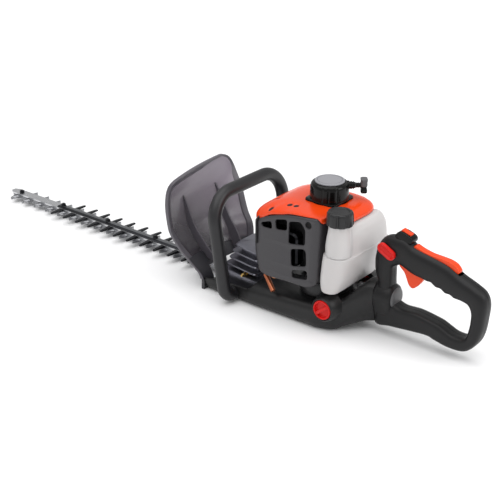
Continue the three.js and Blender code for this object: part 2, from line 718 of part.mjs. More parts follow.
const flywheelZ = 158;
let flywheel = join(
  upright(0, 0, flywheelZ, flywheelZ + 8, FLYWHEEL_RADIUS, 24),
  upright(0, 0, flywheelZ, STARTER_PLATE_Z - 6, 15),
);
for (let i = 0; i < 8; i += 1) {
  const vane = block([16, FLYWHEEL_RADIUS - 1], [-1.2, 1.2], [flywheelZ + 7, flywheelZ + 16]);
  flywheel = flywheel.add(vane.rotate([0, 0, i * 45]));
}
part(
  'flywheel',
  flywheel.subtract(upright(0, 0, 0, 250, SHAFT_RADIUS + GAP)),
  FINISH.castAluminium,
);

const coilInner = FLYWHEEL_RADIUS + 0.7;
part(
  'ignition_coil',
  join(
    block([-13, 13], [-coilInner - 9, -coilInner], [flywheelZ + 0.5, flywheelZ + 7]),
    block([-9, 9], [-coilInner - 24, -coilInner - 8], [flywheelZ - 4, flywheelZ + 12]),
  ),
  FINISH.blackPlastic,
);

const shroudOuter = 38;
const shroudInner = FLYWHEEL_RADIUS + 2;
part(
  'fan_shroud',
  cut(
    upright(0, 0, crankcaseTop + GAP, STARTER_PLATE_Z - GAP, shroudOuter, 24),
    upright(0, 0, crankcaseTop + 3, STARTER_PLATE_Z + 1, shroudInner, 24),
    upright(0, 0, crankcaseTop - 1, crankcaseTop + 4, 16),
    block([-15, 15], [-60, 0], [flywheelZ - 5, flywheelZ + 13]),
  ),
  FINISH.blackPlastic,
);
const pullDirection = [Math.cos((PULL_ANGLE * Math.PI) / 180), Math.sin((PULL_ANGLE * Math.PI) / 180)];
const pullAt = (distance, z) => [pullDirection[0] * distance, pullDirection[1] * distance, z];
const housingInner = STARTER_RADIUS - 3;
const plateSquare = softened(
  [
    [-STARTER_PLATE_HALF, -STARTER_PLATE_HALF],
    [STARTER_PLATE_HALF, -STARTER_PLATE_HALF],
    [STARTER_PLATE_HALF, STARTER_PLATE_HALF],
    [-STARTER_PLATE_HALF, STARTER_PLATE_HALF],
  ],
  9,
);
const neckEnd = STARTER_RADIUS + 9;
part(
  'starter_housing',
  cut(
    join(
      prism(PLAN, plateSquare, STARTER_PLATE_Z, STARTER_PLATE_Z + 9),
      upright(0, 0, STARTER_PLATE_Z + 4, STARTER_TOP, STARTER_RADIUS, 28),
      bar(pullAt(STARTER_RADIUS - 4, ROPE_Z), pullAt(neckEnd, ROPE_Z), 4.6, 14),
    ),
    upright(0, 0, STARTER_PLATE_Z - 1, STARTER_TOP - 3, housingInner, 28),
    bar(pullAt(0, ROPE_Z), pullAt(neckEnd + 5, ROPE_Z), 2.6, 12),
  ).add(upright(0, 0, STARTER_PLATE_Z + 8, STARTER_TOP - 2, 4.6)),
  FINISH.blackPlastic,
);
part('starter_lid', upright(0, 0, STARTER_TOP + GAP, STARTER_TOP + 3, 24.5, 28), FINISH.greyPlastic);

const reelZ = ROPE_Z - 6;
let reel = ring(0, 0, reelZ, reelZ + 9, housingInner - 2.5, 4.6 + GAP, 24);
reel = reel.subtract(ring(0, 0, reelZ + 2, reelZ + 7, housingInner, 20, 24));
part('starter_reel', reel, FINISH.greyPlastic);

const gripAt = neckEnd + 14;
const gripPlane = (distance, across, z) => [
  pullDirection[0] * distance - pullDirection[1] * across,
  pullDirection[1] * distance + pullDirection[0] * across,
  z,
];
const gripRing = (z, halfDepth, halfWidth) => [[-1, -1], [1, -1], [1, 1], [-1, 1]].map(
  ([a, b]) => gripPlane(gripAt + a * halfDepth, b * halfWidth, z),
);
part(
  'pull_handle',
  join(
    bar(pullAt(neckEnd + GAP, ROPE_Z), pullAt(gripAt, ROPE_Z), 3.6, 14),
    skin(gripRing(ROPE_Z - 13, 4, 5), gripRing(ROPE_Z - 9, 5.5, 7), gripRing(ROPE_Z, 4.5, 6),
      gripRing(ROPE_Z + 9, 5.5, 7), gripRing(ROPE_Z + 12, 4, 5)),
  ),
  FINISH.greyPlastic,
);

// ---------------------------------------------------------------- exhaust side

part(
  'muffler',
  cut(
    join(
      prism(SIDE, roundedRectangle([16, 78], [96, 156], 9), portFace + GAP + 2, MUFFLER_OUTER_Y, { bevel: 3 }),
      block([portX - 12, portX + 12], [portFace + GAP, portFace + 4], [CYLINDER_Z - 11, CYLINDER_Z + 11]),
    ),
    bar([portX, 0, CYLINDER_Z], [portX, 50, CYLINDER_Z], 7, 16),
    bar([portX, 55, 80], [portX, 55, 104], 4, 12),
  ),
  FINISH.brightSteel,
);
part(
  'exhaust_pipe',
  cut(
    bar([portX, 55, 93.6], [portX + 8, 62, 66], 5, 12),
    bar([portX, 55, 94], [portX + 9.6, 63.4, 60], 3.6, 12),
  ),
  FINISH.copper,
);

const mufflerFace = softened(
  [[-37.5, 80], [-20, 77], [30, 78], [70, 85], [90, 96], [95, 125], [92, 168], [60, 184], [20, 195], [-34, 201],
    [-37.5, 190]],
  6,
);
const mufflerInner = MUFFLER_FACE_Y - MUFFLER_COVER_DEPTH;
const windows = [
  [[78, 167.5], [56, 175], [55, 161.5], [75, 160.5]],
  [[49, 180], [25, 186], [25, 167], [47, 163]],
  [[21, 184], [-2, 189], [-11, 178], [-11, 151], [22, 145]],
  [[17, 137], [-8, 144], [-13, 141], [-14, 115], [16, 107]],
  [[14, 101], [-16, 108], [-17, 92], [14, 87]],
];
let mufflerCover = prism(SIDE, mufflerFace, mufflerInner, MUFFLER_FACE_Y, { bevel: 3 });
mufflerCover = cut(
  mufflerCover,
  prism(SIDE, inset(mufflerFace, COVER_WALL), mufflerInner - 9, MUFFLER_FACE_Y - COVER_WALL),
  prism(SIDE, circle(-18, 187.5, 6, 16), MUFFLER_OUTER_Y, MUFFLER_FACE_Y + 9),
  ...windows.map((window) => prism(SIDE, softened(window, 3, 1), MUFFLER_OUTER_Y, MUFFLER_FACE_Y + 9)),
  block([portX - 6, portX + 18], [50, 70], [70, 94]),
);
for (const [x, z] of [[24, 112], [70, 140]]) {
  mufflerCover = mufflerCover.add(
    bar([x, MUFFLER_OUTER_Y + GAP, z], [x, MUFFLER_FACE_Y - 1, z], 5, 14),
  );
}
part('muffler_cover', mufflerCover, FINISH.greyPlastic);

// ---------------------------------------------------------------- intake side

const carbInner = -portFace - GAP;
const carbOuter = carbInner - 28;
const carbX = [portX - 16, portX + 16];
const primer = { y: (carbInner + carbOuter) / 2, z: CYLINDER_Z - 2, radius: 9, travel: 3.5 };
part(
  'carburettor',
  cut(
    join(
      block([carbX[0] + 4, carbX[1] - 4], [carbOuter, carbInner], [CYLINDER_Z - 16, CYLINDER_Z + 16]),
      block(carbX, [carbOuter + 6, carbInner - 6], [CYLINDER_Z - 12, CYLINDER_Z + 10]),
    ),
    bar([portX, carbOuter - 1, CYLINDER_Z], [portX, carbInner + 1, CYLINDER_Z], 7, 16),
    bar([carbX[0] - 1, primer.y, primer.z], [carbX[0] + 6, primer.y, primer.z], primer.radius - 1.5, 16),
  ),
  FINISH.castAluminium,
);
part(
  'primer_bulb',
  join(
    bar([carbX[0] + 5.6 - primer.travel, primer.y, primer.z], [carbX[0] - 6, primer.y, primer.z], primer.radius - 2, 16),
    bar([carbX[0] - 6, primer.y, primer.z], [carbX[0] - 11, primer.y, primer.z], primer.radius - 2, 16, 3.5),
  ),
  FINISH.redPlastic,
);

const filterInner = carbOuter - GAP;
const filterX = [18, 92];
const filterZ = [90, 160];
const filterFace = roundedRectangle(filterX, filterZ, 12);
const filterOuter = -94;
const chokeAt = { x: 34, z: 152 };
part(
  'filter_base',
  cut(
    prism(SIDE, filterFace, filterInner - 4, filterInner),
    bar([portX, -90, CYLINDER_Z], [portX, 0, CYLINDER_Z], 7, 16),
    bar([chokeAt.x, -90, chokeAt.z], [chokeAt.x, 0, chokeAt.z], 3.3, 12),
  ),
  FINISH.blackPlastic,
);
const filterCoverFace = inset(filterFace, 0.1);
part(
  'filter_cover',
  prism(SIDE, filterCoverFace, filterOuter, filterInner - 4 - GAP, { bevel: 3 }).subtract(
    prism(SIDE, inset(filterFace, COVER_WALL + 3), filterOuter + COVER_WALL, filterInner),
  ),
  FINISH.blackPlastic,
);
part(
  'choke_lever',
  join(
    bar([chokeAt.x, filterInner - 4, chokeAt.z], [chokeAt.x, filterInner + 7, chokeAt.z], 3, 12),
    prism(
      SIDE,
      softened([[chokeAt.x - 6, chokeAt.z - 6], [chokeAt.x + 6, chokeAt.z - 6], [chokeAt.x + 4, chokeAt.z + 26],
        [chokeAt.x - 4, chokeAt.z + 26]], 4),
      filterInner + 1,
      filterInner + 5,
    ),
  ),
  FINISH.redPlastic,
);

// ---------------------------------------------------------------- engine cover

// Level rings of the cover's rounded top, from its lower edge upwards.
const coverRings = [
  { z: 160, x: [-66, 104], y: [-66, 77], corner: 24 },
  { z: 184, x: [-66, 104], y: [-66, 77], corner: 24 },
  { z: 192, x: [-64, 90], y: [-62, 77], corner: 28 },
  { z: 203, x: [-58, 62], y: [-52, 75], corner: 30 },
  { z: 210, x: [-44, 54], y: [-38, 48], corner: 24 },
  { z: 214, x: [-24, 46], y: [-24, 30], corner: 14 },
];
function coverSkin(margin) {
  return skin(
    ...coverRings.map(({ z, x, y, corner }, i) => {
      const ringAt = roundedRectangle(
        [x[0] + margin, x[1] - margin],
        [y[0] + margin, y[1] - margin],
        corner - margin,
        3,
      );
      return ringAt.map(([u, v]) => [u, v, i === 0 ? z - 3 * (margin > 0) : z - margin]);
    }),
  );
}
const tankTop = 186;
const coverOpening = prism(PLAN, inset(plateSquare, -0.4), 150, 260).add(
  upright(0, 0, 150, 260, STARTER_RADIUS + 0.4, 28),
);
let engineCover = coverSkin(0).subtract(coverSkin(COVER_WALL));
engineCover = cut(
  engineCover,
  prism(SIDE, inset(mufflerFace, -0.5), mufflerInner - 2, 99),
  block([-99, TANK_FRONT + 3], [-99, 99], [100, tankTop + 2]),
  coverOpening,
  upright(NECK.x, NECK.y, 150, 260, CAP_RADIUS + 1.5),
  prism(SIDE, inset(filterFace, -1), -99, filterInner + 1),
  block([chokeAt.x - 30, chokeAt.x + 30], [-80, -50], [150, 184]),
);
for (const [x, y] of [[66, 52], [26, 56], [16, 60], [-36, -36]]) {
  const hole = upright(x, y, 180, 240, 3.2, 12);
  engineCover = engineCover.subtract(hole);
}
part('engine_cover', engineCover, FINISH.orangePlastic);

// ---------------------------------------------------------------- fuel tank

const tankRings = [
  { z: 76, x: [TANK_FRONT - 2, -66], y: [-52, 76], corner: 10 },
  { z: 104, x: [TANK_FRONT, -77], y: [-60, 81], corner: 14 },
  { z: 143, x: [TANK_FRONT, -86], y: [-64, 81], corner: 20 },
  { z: 176, x: [TANK_FRONT, -82], y: [-62, 79], corner: 20 },
  { z: tankTop, x: [TANK_FRONT, -74], y: [-55, 74], corner: 16 },
];
function tankSkin(margin) {
  return skin(
    ...tankRings.map(({ z, x, y, corner }, i) => {
      const lift = i === 0 ? margin : i === tankRings.length - 1 ? -margin : 0;
      const outline = roundedRectangle(
        [x[1] + margin, x[0] - margin],
        [y[0] + margin, y[1] - margin],
        corner - margin,
      );
      return outline.map(([u, v]) => [u, v, z + lift]);
    }),
  );
}
part(
  'fuel_tank',
  cut(
    tankSkin(0).add(upright(NECK.x, NECK.y, 170, NECK.top, NECK.radius)),
    tankSkin(TANK_WALL),
    upright(NECK.x, NECK.y, 160, NECK.top + 1, NECK.radius - 3),
  ),
  FINISH.tankPlastic,
);

const gasketTop = NECK.top + GAP + 3;
part(
  'cap_gasket',
  upright(NECK.x, NECK.y, NECK.top - 6, NECK.top, NECK.radius - 3.4).add(
    upright(NECK.x, NECK.y, NECK.top + GAP - 1, gasketTop, NECK.radius - 3.4),
  ),
  FINISH.rubber,
);
let cap = upright(NECK.x, NECK.y, CAP_Z, CAP_Z + CAP_HEIGHT, CAP_RADIUS, 24);
cap = cap.subtract(upright(NECK.x, NECK.y, CAP_Z - 1, gasketTop + GAP, NECK.radius + 0.8, 24));
for (let i = 0; i < 8; i += 1) {
  const angle = (i * Math.PI) / 4;
  const reach = CAP_RADIUS + 1.2;
  const groove = upright(NECK.x + reach * Math.cos(angle), NECK.y + reach * Math.sin(angle), 190, 240, 3.2, 8);
  cap = cap.subtract(groove);
}
part('tank_cap', cap, FINISH.blackPlastic);

// ---------------------------------------------------------------- base frame

// Half sections of the tub, from the cutter's end back to the swivel: [y, z] from the bottom.
const baseFront = SHIELD_FOOT_X - GAP;
const tubSections = [
  [baseFront, [[0, 0], [soleHalf - 8, 0], [soleHalf - 2, 8], [soleHalf - 2, 16], [0, 16]]],
  [160, [[0, 0], [soleHalf - 2, 0], [shoulderHalf, 8], [shoulderHalf, 26], [0, 26]]],
  [132, [[0, 0], [soleHalf - 2, 0], [shoulderHalf, 8], [shoulderHalf, 28], [0, 28]]],
  [110, [[0, 0], [soleHalf, 0], [soleHalf + 9, 8], [soleHalf + 10, 26], [soleHalf + 4, 32], [0, 32]]],
  [-15, [[0, 0], [soleHalf, 0], [soleHalf + 9, 12], [soleHalf + 10, 36], [soleHalf + 2, 46], [0, 46]]],
  [-48, [[0, 0], [52, 0], [63, 12], [67, 44], [60, 54], [0, 54]]],
  [-64, [[0, 8], [46, 8], [54, 20], [56, 50], [44, 60], [0, 62]]],
  [-80, [[0, 15], [32, 15], [42, 28], [40, 62], [30, 76], [0, 80]]],
  [-92, [[0, 18], [20, 18], [31, 34], [31, 70], [20, 86], [0, 89]]],
];
const eggSection = (x, margin = 0) => [
  ...arc(0, SWIVEL_Z, HUB_RADIUS - margin, -20, 200, 10).map(([y, z]) => [x, y, z]),
  ...arc(0, 29, 12 - margin, 180, 360, 4).map(([y, z]) => [x, y, z]),
];
const mirrored = ([x, half]) => half.flatMap(([y, z]) => [[x, y, z], [x, -y, z]]);
const tub = lofted([...tubSections.map(mirrored), eggSection(SEAM_X + GAP / 2)]);

const hollowFront = baseFront + 9;
const hollowRear = -60;
const innerSections = tubSections.slice(0, 7).map(([x, half], i, all) => [
  i === 0 ? hollowFront : i === all.length - 1 ? hollowRear : x,
  half.map(([y, z], corner) => [Math.max(0, y - BASE_WALL), corner < 2 ? z + BASE_FLOOR : z + 40]),
]);
const plug = { x: -43, z: 44, radius: 16.5, inner: 60 };
let base = cut(tub, lofted(innerSections.map(mirrored)));
base = cut(
  base,
  bar([-140, 0, SWIVEL_Z], [0, 0, SWIVEL_Z], SWIVEL_BOLT_RADIUS + GAP),
  bar([-72, 0, SWIVEL_Z], [0, 0, SWIVEL_Z], 9),
);
for (const side of [1, -1]) {
  base = base.add(bar([plug.x, side * 50, plug.z], [plug.x, side * 70, plug.z], plug.radius + 4, 28));
  base = base.subtract(bar([plug.x, side * plug.inner, plug.z], [plug.x, side * 90, plug.z], plug.radius + GAP, 28));
  base = base.subtract(bar([plug.x, side * 40, plug.z], [plug.x, side * 90, plug.z], 7, 20));
}
part('base_frame', base, FINISH.blackPlastic);

for (const [name, side] of [['left', 1], ['right', -1]]) {
  const y = (distance) => side * distance;
  const outer = 75;
  const disc = bar([plug.x, y(plug.inner + GAP), plug.z], [plug.x, y(outer), plug.z], plug.radius, 24);
  const recess = bar([plug.x, y(outer - 5), plug.z], [plug.x, y(outer + 9), plug.z], plug.radius - 2.5, 24);
  const grip = block([-14, 14], [Math.min(y(68), y(outer)), Math.max(y(68), y(outer))], [-2.5, 2.5]);
  const stem = bar([plug.x, y(46), plug.z], [plug.x, y(plug.inner + 2), plug.z], 6, 20);
  part(
    `mount_plug_${name}`,
    join(disc.subtract(recess), grip.rotate([0, -40, 0]).translate([plug.x, 0, plug.z]), stem),
    FINISH.redPlastic,
  );
}

// ---------------------------------------------------------------- front handle and hand guard

// The handle's centre line in its own leaning plane, from one foot round to the other.
function bailPath() {
  const lean = (z) => BAIL_FOOT.x + BAIL_LEAN * (z - BAIL_FOOT.z);
  const foot = BAIL_FOOT.corner;
  const half = [
    [shoulderHalf + GAP, BAIL_FOOT.z],
    ...arc(BAIL_HALF_WIDTH - foot, BAIL_FOOT.z + foot, foot, -90, 0, 4),
    [BAIL_HALF_WIDTH, 70],
    [BAIL_HALF_WIDTH, 110],
    ...arc(BAIL_HALF_WIDTH - BAIL_CORNER, BAIL_TOP - BAIL_CORNER, BAIL_CORNER, 0, 90, 6),
  ];
  const other = half.map(([y, z]) => [-y, z]).reverse();
  const points = [...half, ...other].map(([y, z]) => new THREE.Vector3(lean(z), y, z));
  const path = new THREE.CurvePath();
  points.slice(1).forEach((point, i) => path.add(new THREE.LineCurve3(points[i], point)));
  return path;
}

const bailSection = new THREE.Shape(circle(0, 0, BAIL_RADIUS, 10).map(([u, v]) => new THREE.Vector2(u, v)));
const bailTube = new THREE.ExtrudeGeometry(bailSection, { steps: 30, extrudePath: bailPath() });
const shoulderCut = block([0, 300], [-shoulderHalf - GAP, shoulderHalf + GAP], [0, 60]);
part('front_handle', solidOf(bailTube).subtract(shoulderCut), FINISH.rubber);

// The hand guard: a leaning sheet, bowed forward in the middle.
const shieldLeftX = through([
  [0, 212], [12, 212], [24, 215], [48, 238], [77, 261], [104, 273], [147, 274], [181, 270], [196, 264],
]);
const shieldRightX = through([
  [0, 212], [12, 212], [24, 214], [48, 219], [72, 226], [92, 240], [134, 259], [181, 281], [196, 284],
]);
const shieldHalf = through([[0, 72], [24, 71], [48, 75], [66, 80], [100, 86], [147, 91], [176, 91], [190, 84], [196, 70]]);
const shieldZs = [0, 12, 24, 48, 66, 100, 125, 147, 165, 181, 190, 196];
function shieldRing(share, thickness) {
  const across = (z) => share * shieldHalf(z);
  const edge = (z) => ((1 + share) * shieldLeftX(z) + (1 - share) * shieldRightX(z)) / 2;
  const rear = (z) => edge(z) + SHIELD_BOW * (1 - share ** 2) * Math.min(1, z / 60);
  const front = shieldZs.map((z) => [rear(z) + thickness, across(z), z]);
  const back = shieldZs.map((z) => [rear(z), across(z), z]).reverse();
  return [...front, ...back];
}
function sheetGeometry(rings) {
  const count = rings[0].length;
  const points = rings.flat();
  const faces = [];
  for (let i = 0; i < rings.length - 1; i += 1) {
    for (let j = 0; j < count; j += 1) {
      const a = i * count + j;
      const b = i * count + ((j + 1) % count);
      faces.push(a, a + count, b, b, a + count, b + count);
    }
  }
  const half = count / 2;
  for (const [start, flip] of [[0, false], [(rings.length - 1) * count, true]]) {
    for (let j = 0; j < half - 1; j += 1) {
      const quad = [start + j, start + j + 1, start + count - 2 - j, start + count - 1 - j];
      const [a, b, c, d] = flip ? quad.reverse() : quad;
      faces.push(a, b, c, a, c, d);
    }
  }
  const geometry = new THREE.BufferGeometry();
  geometry.setAttribute('position', new THREE.Float32BufferAttribute(points.flat(), 3));
  geometry.setIndex(faces);
  return geometry;
}
const shieldShares = [-1, -0.85, -0.6, -0.3, 0, 0.3, 0.6, 0.85, 1];
const sheet = solidOf(sheetGeometry(shieldShares.map((share) => shieldRing(share, SHIELD_WALL))));
const cutterMouth = GUARD_TOOTH_REACH + 6;
part(
  'hand_guard',
  sheet.subtract(block([180, 300], [-cutterMouth, cutterMouth], [-9, 32])),
  FINISH.smokedPlastic,
);

// ---------------------------------------------------------------- rear handle

const handleOuter = softened(
  [[-98, 110], [-99, 156], [-122, 174], [-150, 177], [-166, 167], [-226, 155], [-250, 142], [-286, 129],
    [-298, 114], [-296, 70], [-286, 38], [-266, 18], [-238, 17], [-200, 26], [SEAM_X - GAP / 2, 17],
    [SEAM_X - GAP / 2, 100]],
  11,
);
const handleInner = softened(
  [[-130, 122], [-131, 80], [-147, 63], [-217, 53], [-246, 42], [-269, 44], [-274, 88], [-266, 102], [-243, 103],
    [-214, 110], [-193, 117], [-168, 121], [-145, 130]],
  8,
  1,
);
const triggerPivot = { x: -146, z: 137 };
const leverPivot = { x: -172, z: 152 };
let handle = prism(SIDE, handleOuter, -HANDLE_HALF_WIDTH, HANDLE_HALF_WIDTH, {
  holes: [handleInner.slice().reverse()],
  bevel: 5,
});
const hubEnd = SEAM_X - HUB_DEPTH;
handle = handle.add(skin(eggSection(SEAM_X - GAP / 2), eggSection(hubEnd + 2), eggSection(hubEnd, 3)));
const cavityHalf = HANDLE_HALF_WIDTH - HANDLE_WALL;
const cavity = prism(SIDE, inset(handleOuter, HANDLE_WALL + 3), -cavityHalf, cavityHalf, {
  holes: [inset(handleInner, -HANDLE_WALL - 3).reverse()],
});
const levers = { half: 6, gap: 0.8 };
const leverRoom = levers.half + levers.gap;
handle = cut(
  handle,
  cavity.subtract(block([hubEnd - 2, -90], [-40, 40], [0, 92])),
  bar([hubEnd + 3, 0, SWIVEL_Z], [0, 0, SWIVEL_Z], SWIVEL_BOLT_RADIUS + GAP),
  bar([hubEnd - 9, 0, SWIVEL_Z], [hubEnd + 10, 0, SWIVEL_Z], 12),
  prism(SIDE, [[-137, 112], [-137, 140], [-200, 140], [-200, 112], [-170, 92]], -leverRoom, leverRoom),
  prism(SIDE, [[-163, 155], [-163, 190], [-249, 190], [-249, 133], [-226, 144]], -leverRoom, leverRoom),
);
for (const [name, side] of [['left', 1], ['right', -1]]) {
  const [near, far] = side > 0 ? [GAP / 2, 60] : [-60, -GAP / 2];
  let shell = handle.intersect(block([-400, 0], [near, far], [0, 300]));
  const boss = (x, z) => bar([x, side * (GAP / 2), z], [x, side * (cavityHalf + 1), z], 3, 12);
  const hollowBoss = (x, z) => boss(x, z).subtract(block([-400, 0], [-leverRoom, leverRoom], [0, 300]));
  shell = join(shell, boss(-287, 80), hollowBoss(triggerPivot.x, triggerPivot.z), hollowBoss(leverPivot.x, leverPivot.z));
  part(`handle_${name}_shell`, shell, FINISH.blackPlastic);
}

part(
  'swivel_bolt',
  join(
    bar([-72 + GAP, 0, SWIVEL_Z], [-66, 0, SWIVEL_Z], 8, 6),
    bar([-70, 0, SWIVEL_Z], [hubEnd + 4, 0, SWIVEL_Z], SWIVEL_BOLT_RADIUS),
    bar([hubEnd + 9, 0, SWIVEL_Z], [hubEnd + 3, 0, SWIVEL_Z], 10, 6),
  ),
  FINISH.brightSteel,
);

part(
  'throttle_trigger',
  join(
    prism(
      SIDE,
      softened([[-141, 138], [-140, 126], [-152, 116], [-163, 97], [-171, 100], [-181, 119], [-176, 132], [-156, 139]], 4),
      -levers.half,
      levers.half,
      { bevel: 1.2 },
    ),
    bar([triggerPivot.x, -levers.half + 0.2, triggerPivot.z], [triggerPivot.x, levers.half - 0.2, triggerPivot.z], 5, 16),
  ),
  FINISH.orangePlastic,
);
part(
  'throttle_lockout',
  join(
    prism(
      SIDE,
      softened([[-166, 160], [-170, 168], [-196, 163], [-226, 161], [-240, 156], [-247, 148], [-244, 143],
        [-226, 152], [-190, 156]], 3),
      -levers.half,
      levers.half,
      { bevel: 1.2 },
    ),
    bar([leverPivot.x, 0.2 - levers.half, leverPivot.z], [leverPivot.x, levers.half - 0.2, leverPivot.z], 4, 16),
    block([-176, -168], [-levers.half + 1, levers.half - 1], [leverPivot.z, 162]),
  ),
  FINISH.orangePlastic,
);

const switchTop = 184;
const switchBody = softened([[-134, 178.3], [-162, 178.3], [-160, switchTop - 3], [-152, switchTop],
  [-140, switchTop]], 2);
part(
  'stop_switch',
  prism(SIDE, switchBody, -11, 11).subtract(block([-158, -140], [-5, 5], [180, 199])),
  FINISH.blackPlastic,
);
part(
  'stop_rocker',
  prism(
    SIDE,
    softened([[-157.4, 184.5], [-157.4, 187.5], [-149, 185], [-140.6, 187.5], [-140.6, 184.5], [-149, 180.6]], 1),
    -4.5,
    4.5,
  ),
  FINISH.redPlastic,
);

const lock = { x: -124, z: 152, angle: 40 };
part(
  'swivel_lock',
  prism(SIDE, slot(0, 0, 16, 7.5, 5), HANDLE_HALF_WIDTH + GAP, HANDLE_HALF_WIDTH + 5)
    .subtract(prism(SIDE, slot(0, 0, 11, 3.6, 4), HANDLE_HALF_WIDTH + 3, HANDLE_HALF_WIDTH + 9))
    .rotate([0, -lock.angle, 0])
    .translate([lock.x, 0, lock.z]),
  FINISH.redPlastic,
);

export default trimmer;
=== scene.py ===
import bmesh
import bpy
import numpy as np
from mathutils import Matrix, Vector
from mathutils.geometry import tessellate_polygon


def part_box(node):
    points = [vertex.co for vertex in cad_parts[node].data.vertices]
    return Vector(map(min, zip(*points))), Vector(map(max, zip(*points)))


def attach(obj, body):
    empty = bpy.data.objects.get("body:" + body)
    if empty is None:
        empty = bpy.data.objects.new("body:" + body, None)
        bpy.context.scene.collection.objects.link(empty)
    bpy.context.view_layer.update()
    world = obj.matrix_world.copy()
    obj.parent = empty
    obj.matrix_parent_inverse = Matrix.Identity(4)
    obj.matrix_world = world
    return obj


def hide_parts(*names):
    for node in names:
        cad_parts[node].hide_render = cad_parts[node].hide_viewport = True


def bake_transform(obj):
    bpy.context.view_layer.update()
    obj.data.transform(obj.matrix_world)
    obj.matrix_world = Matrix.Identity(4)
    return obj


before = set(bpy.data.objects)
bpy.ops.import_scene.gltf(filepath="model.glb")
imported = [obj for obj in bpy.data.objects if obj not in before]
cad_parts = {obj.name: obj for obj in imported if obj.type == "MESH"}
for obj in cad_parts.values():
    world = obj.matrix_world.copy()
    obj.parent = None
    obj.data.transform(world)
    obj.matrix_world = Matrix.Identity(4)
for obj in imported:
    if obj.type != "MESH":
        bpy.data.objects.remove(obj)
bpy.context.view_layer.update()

# ---------------------------------------------------------------- floor, light and camera
# The trimmer rests on a wide pale floor, under an even white sky with one broad soft light
# overhead and a weak lamp behind the rear handle. The camera stands off its left rear side.

FLOOR_HALF = 40.0
SKY_LIGHT = 0.6
SUN_FROM = Vector((0.2, 0.5, 2.6))
SUN_STRENGTH = 1.9
SUN_SPREAD = 75.0
REAR_LAMP = {"place": Vector((-2.2, -0.5, 1.7)), "size": 1.6, "power": 22.0}
CAMERA_PLACE = Vector((-0.9574, 1.3840, 0.8890))
CAMERA_AIM = Vector((0.5716, -0.7048, -0.4203))
CAMERA_LENS = 80.63

bpy.context.scene.view_settings.view_transform = "Standard"

sky = bpy.data.worlds.new("studio")
sky.use_nodes = True
sky.node_tree.nodes["Background"].inputs["Color"].default_value = (1.0, 1.0, 1.0, 1.0)
sky.node_tree.nodes["Background"].inputs["Strength"].default_value = SKY_LIGHT
bpy.context.scene.world = sky

overhead = bpy.data.lights.new("overhead_lamp", "SUN")
overhead.energy = SUN_STRENGTH
overhead.angle = np.radians(SUN_SPREAD)
rear = bpy.data.lights.new("rear_lamp", "AREA")
rear.size = REAR_LAMP["size"]
rear.energy = REAR_LAMP["power"]
for light, place in ((overhead, SUN_FROM), (rear, REAR_LAMP["place"])):
    holder = bpy.data.objects.new(light.name, light)
    holder.location = place
    holder.rotation_mode = "QUATERNION"
    holder.rotation_quaternion = (-place).to_track_quat("-Z", "Y")
    bpy.context.scene.collection.objects.link(holder)

camera = bpy.data.objects.new("camera", bpy.data.cameras.new("camera"))
camera.data.lens = CAMERA_LENS
camera.location = CAMERA_PLACE
camera.rotation_mode = "QUATERNION"
camera.rotation_quaternion = CAMERA_AIM.to_track_quat("-Z", "Y")
bpy.context.scene.collection.objects.link(camera)
bpy.context.scene.camera = camera

floor_mesh = bpy.data.meshes.new("floor")
floor_corners = [(-1, -1, 0), (1, -1, 0), (1, 1, 0), (-1, 1, 0)]
floor_mesh.from_pydata((np.array(floor_corners) * FLOOR_HALF).tolist(), [], [(0, 1, 2, 3)])
floor = bpy.data.objects.new("floor", floor_mesh)
bpy.context.scene.collection.objects.link(floor)


def new_material(name, colour, roughness, metallic=0.0):
    """A plain Principled finish: its colour, roughness and metalness set on the sockets."""
    material = bpy.data.materials.new(name)
    material.use_nodes = True
    shader = material.node_tree.nodes["Principled BSDF"]
    shader.inputs["Base Color"].default_value = (*colour, 1.0)
    shader.inputs["Roughness"].default_value = roughness
    shader.inputs["Metallic"].default_value = metallic
    return material, shader


floor_finish, floor_shader = new_material("floor_paint", (0.93, 0.93, 0.935), 0.9)
floor_shader.inputs["Specular IOR Level"].default_value = 0.1
floor_mesh.materials.append(floor_finish)

# ---------------------------------------------------------------- base frame
# One long tub moulded in black nylon: a flat sole, a crease along each side, a deck under the
# engine and a tail that closes into the swivel's round neck. The engine is screwed down into it.

MM = 0.001


def box_of(node):
    """The node's lowest and highest corners in millimetres, as two arrays."""
    low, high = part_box(node)
    return np.array(low) / MM, np.array(high) / MM


def flowing(at, keys, values):
    """Values carried smoothly from key to key: cubic pieces whose slope at a key is the harmonic
    mean of the slopes on its two sides, or zero where the values turn, so nothing overshoots."""
    at, keys, values = (np.asarray(x, float) for x in (at, keys, values))
    steps = np.diff(keys).reshape((-1,) + (1,) * (values.ndim - 1))
    slopes = np.diff(values, axis=0) / steps
    product = slopes[1:] * slopes[:-1]
    total = np.where(product > 0, slopes[1:] + slopes[:-1], 1.0)
    inner = np.where(product > 0, 2 * product / total, 0.0)
    slopes = np.concatenate([slopes[:1], inner, slopes[-1:]])
    i = np.clip(np.searchsorted(keys, at, "right") - 1, 0, len(keys) - 2)
    t = ((at - keys[i]) / np.diff(keys)[i]).reshape((-1,) + (1,) * (values.ndim - 1))
    t = np.clip(t, 0, 1)
    rise = 3 * t**2 - 2 * t**3
    start = (t**3 - 2 * t**2 + t) * steps[i] * slopes[i]
    end = (t**3 - t**2) * steps[i] * slopes[i + 1]
    return values[i] * (1 - rise) + values[i + 1] * rise + start + end


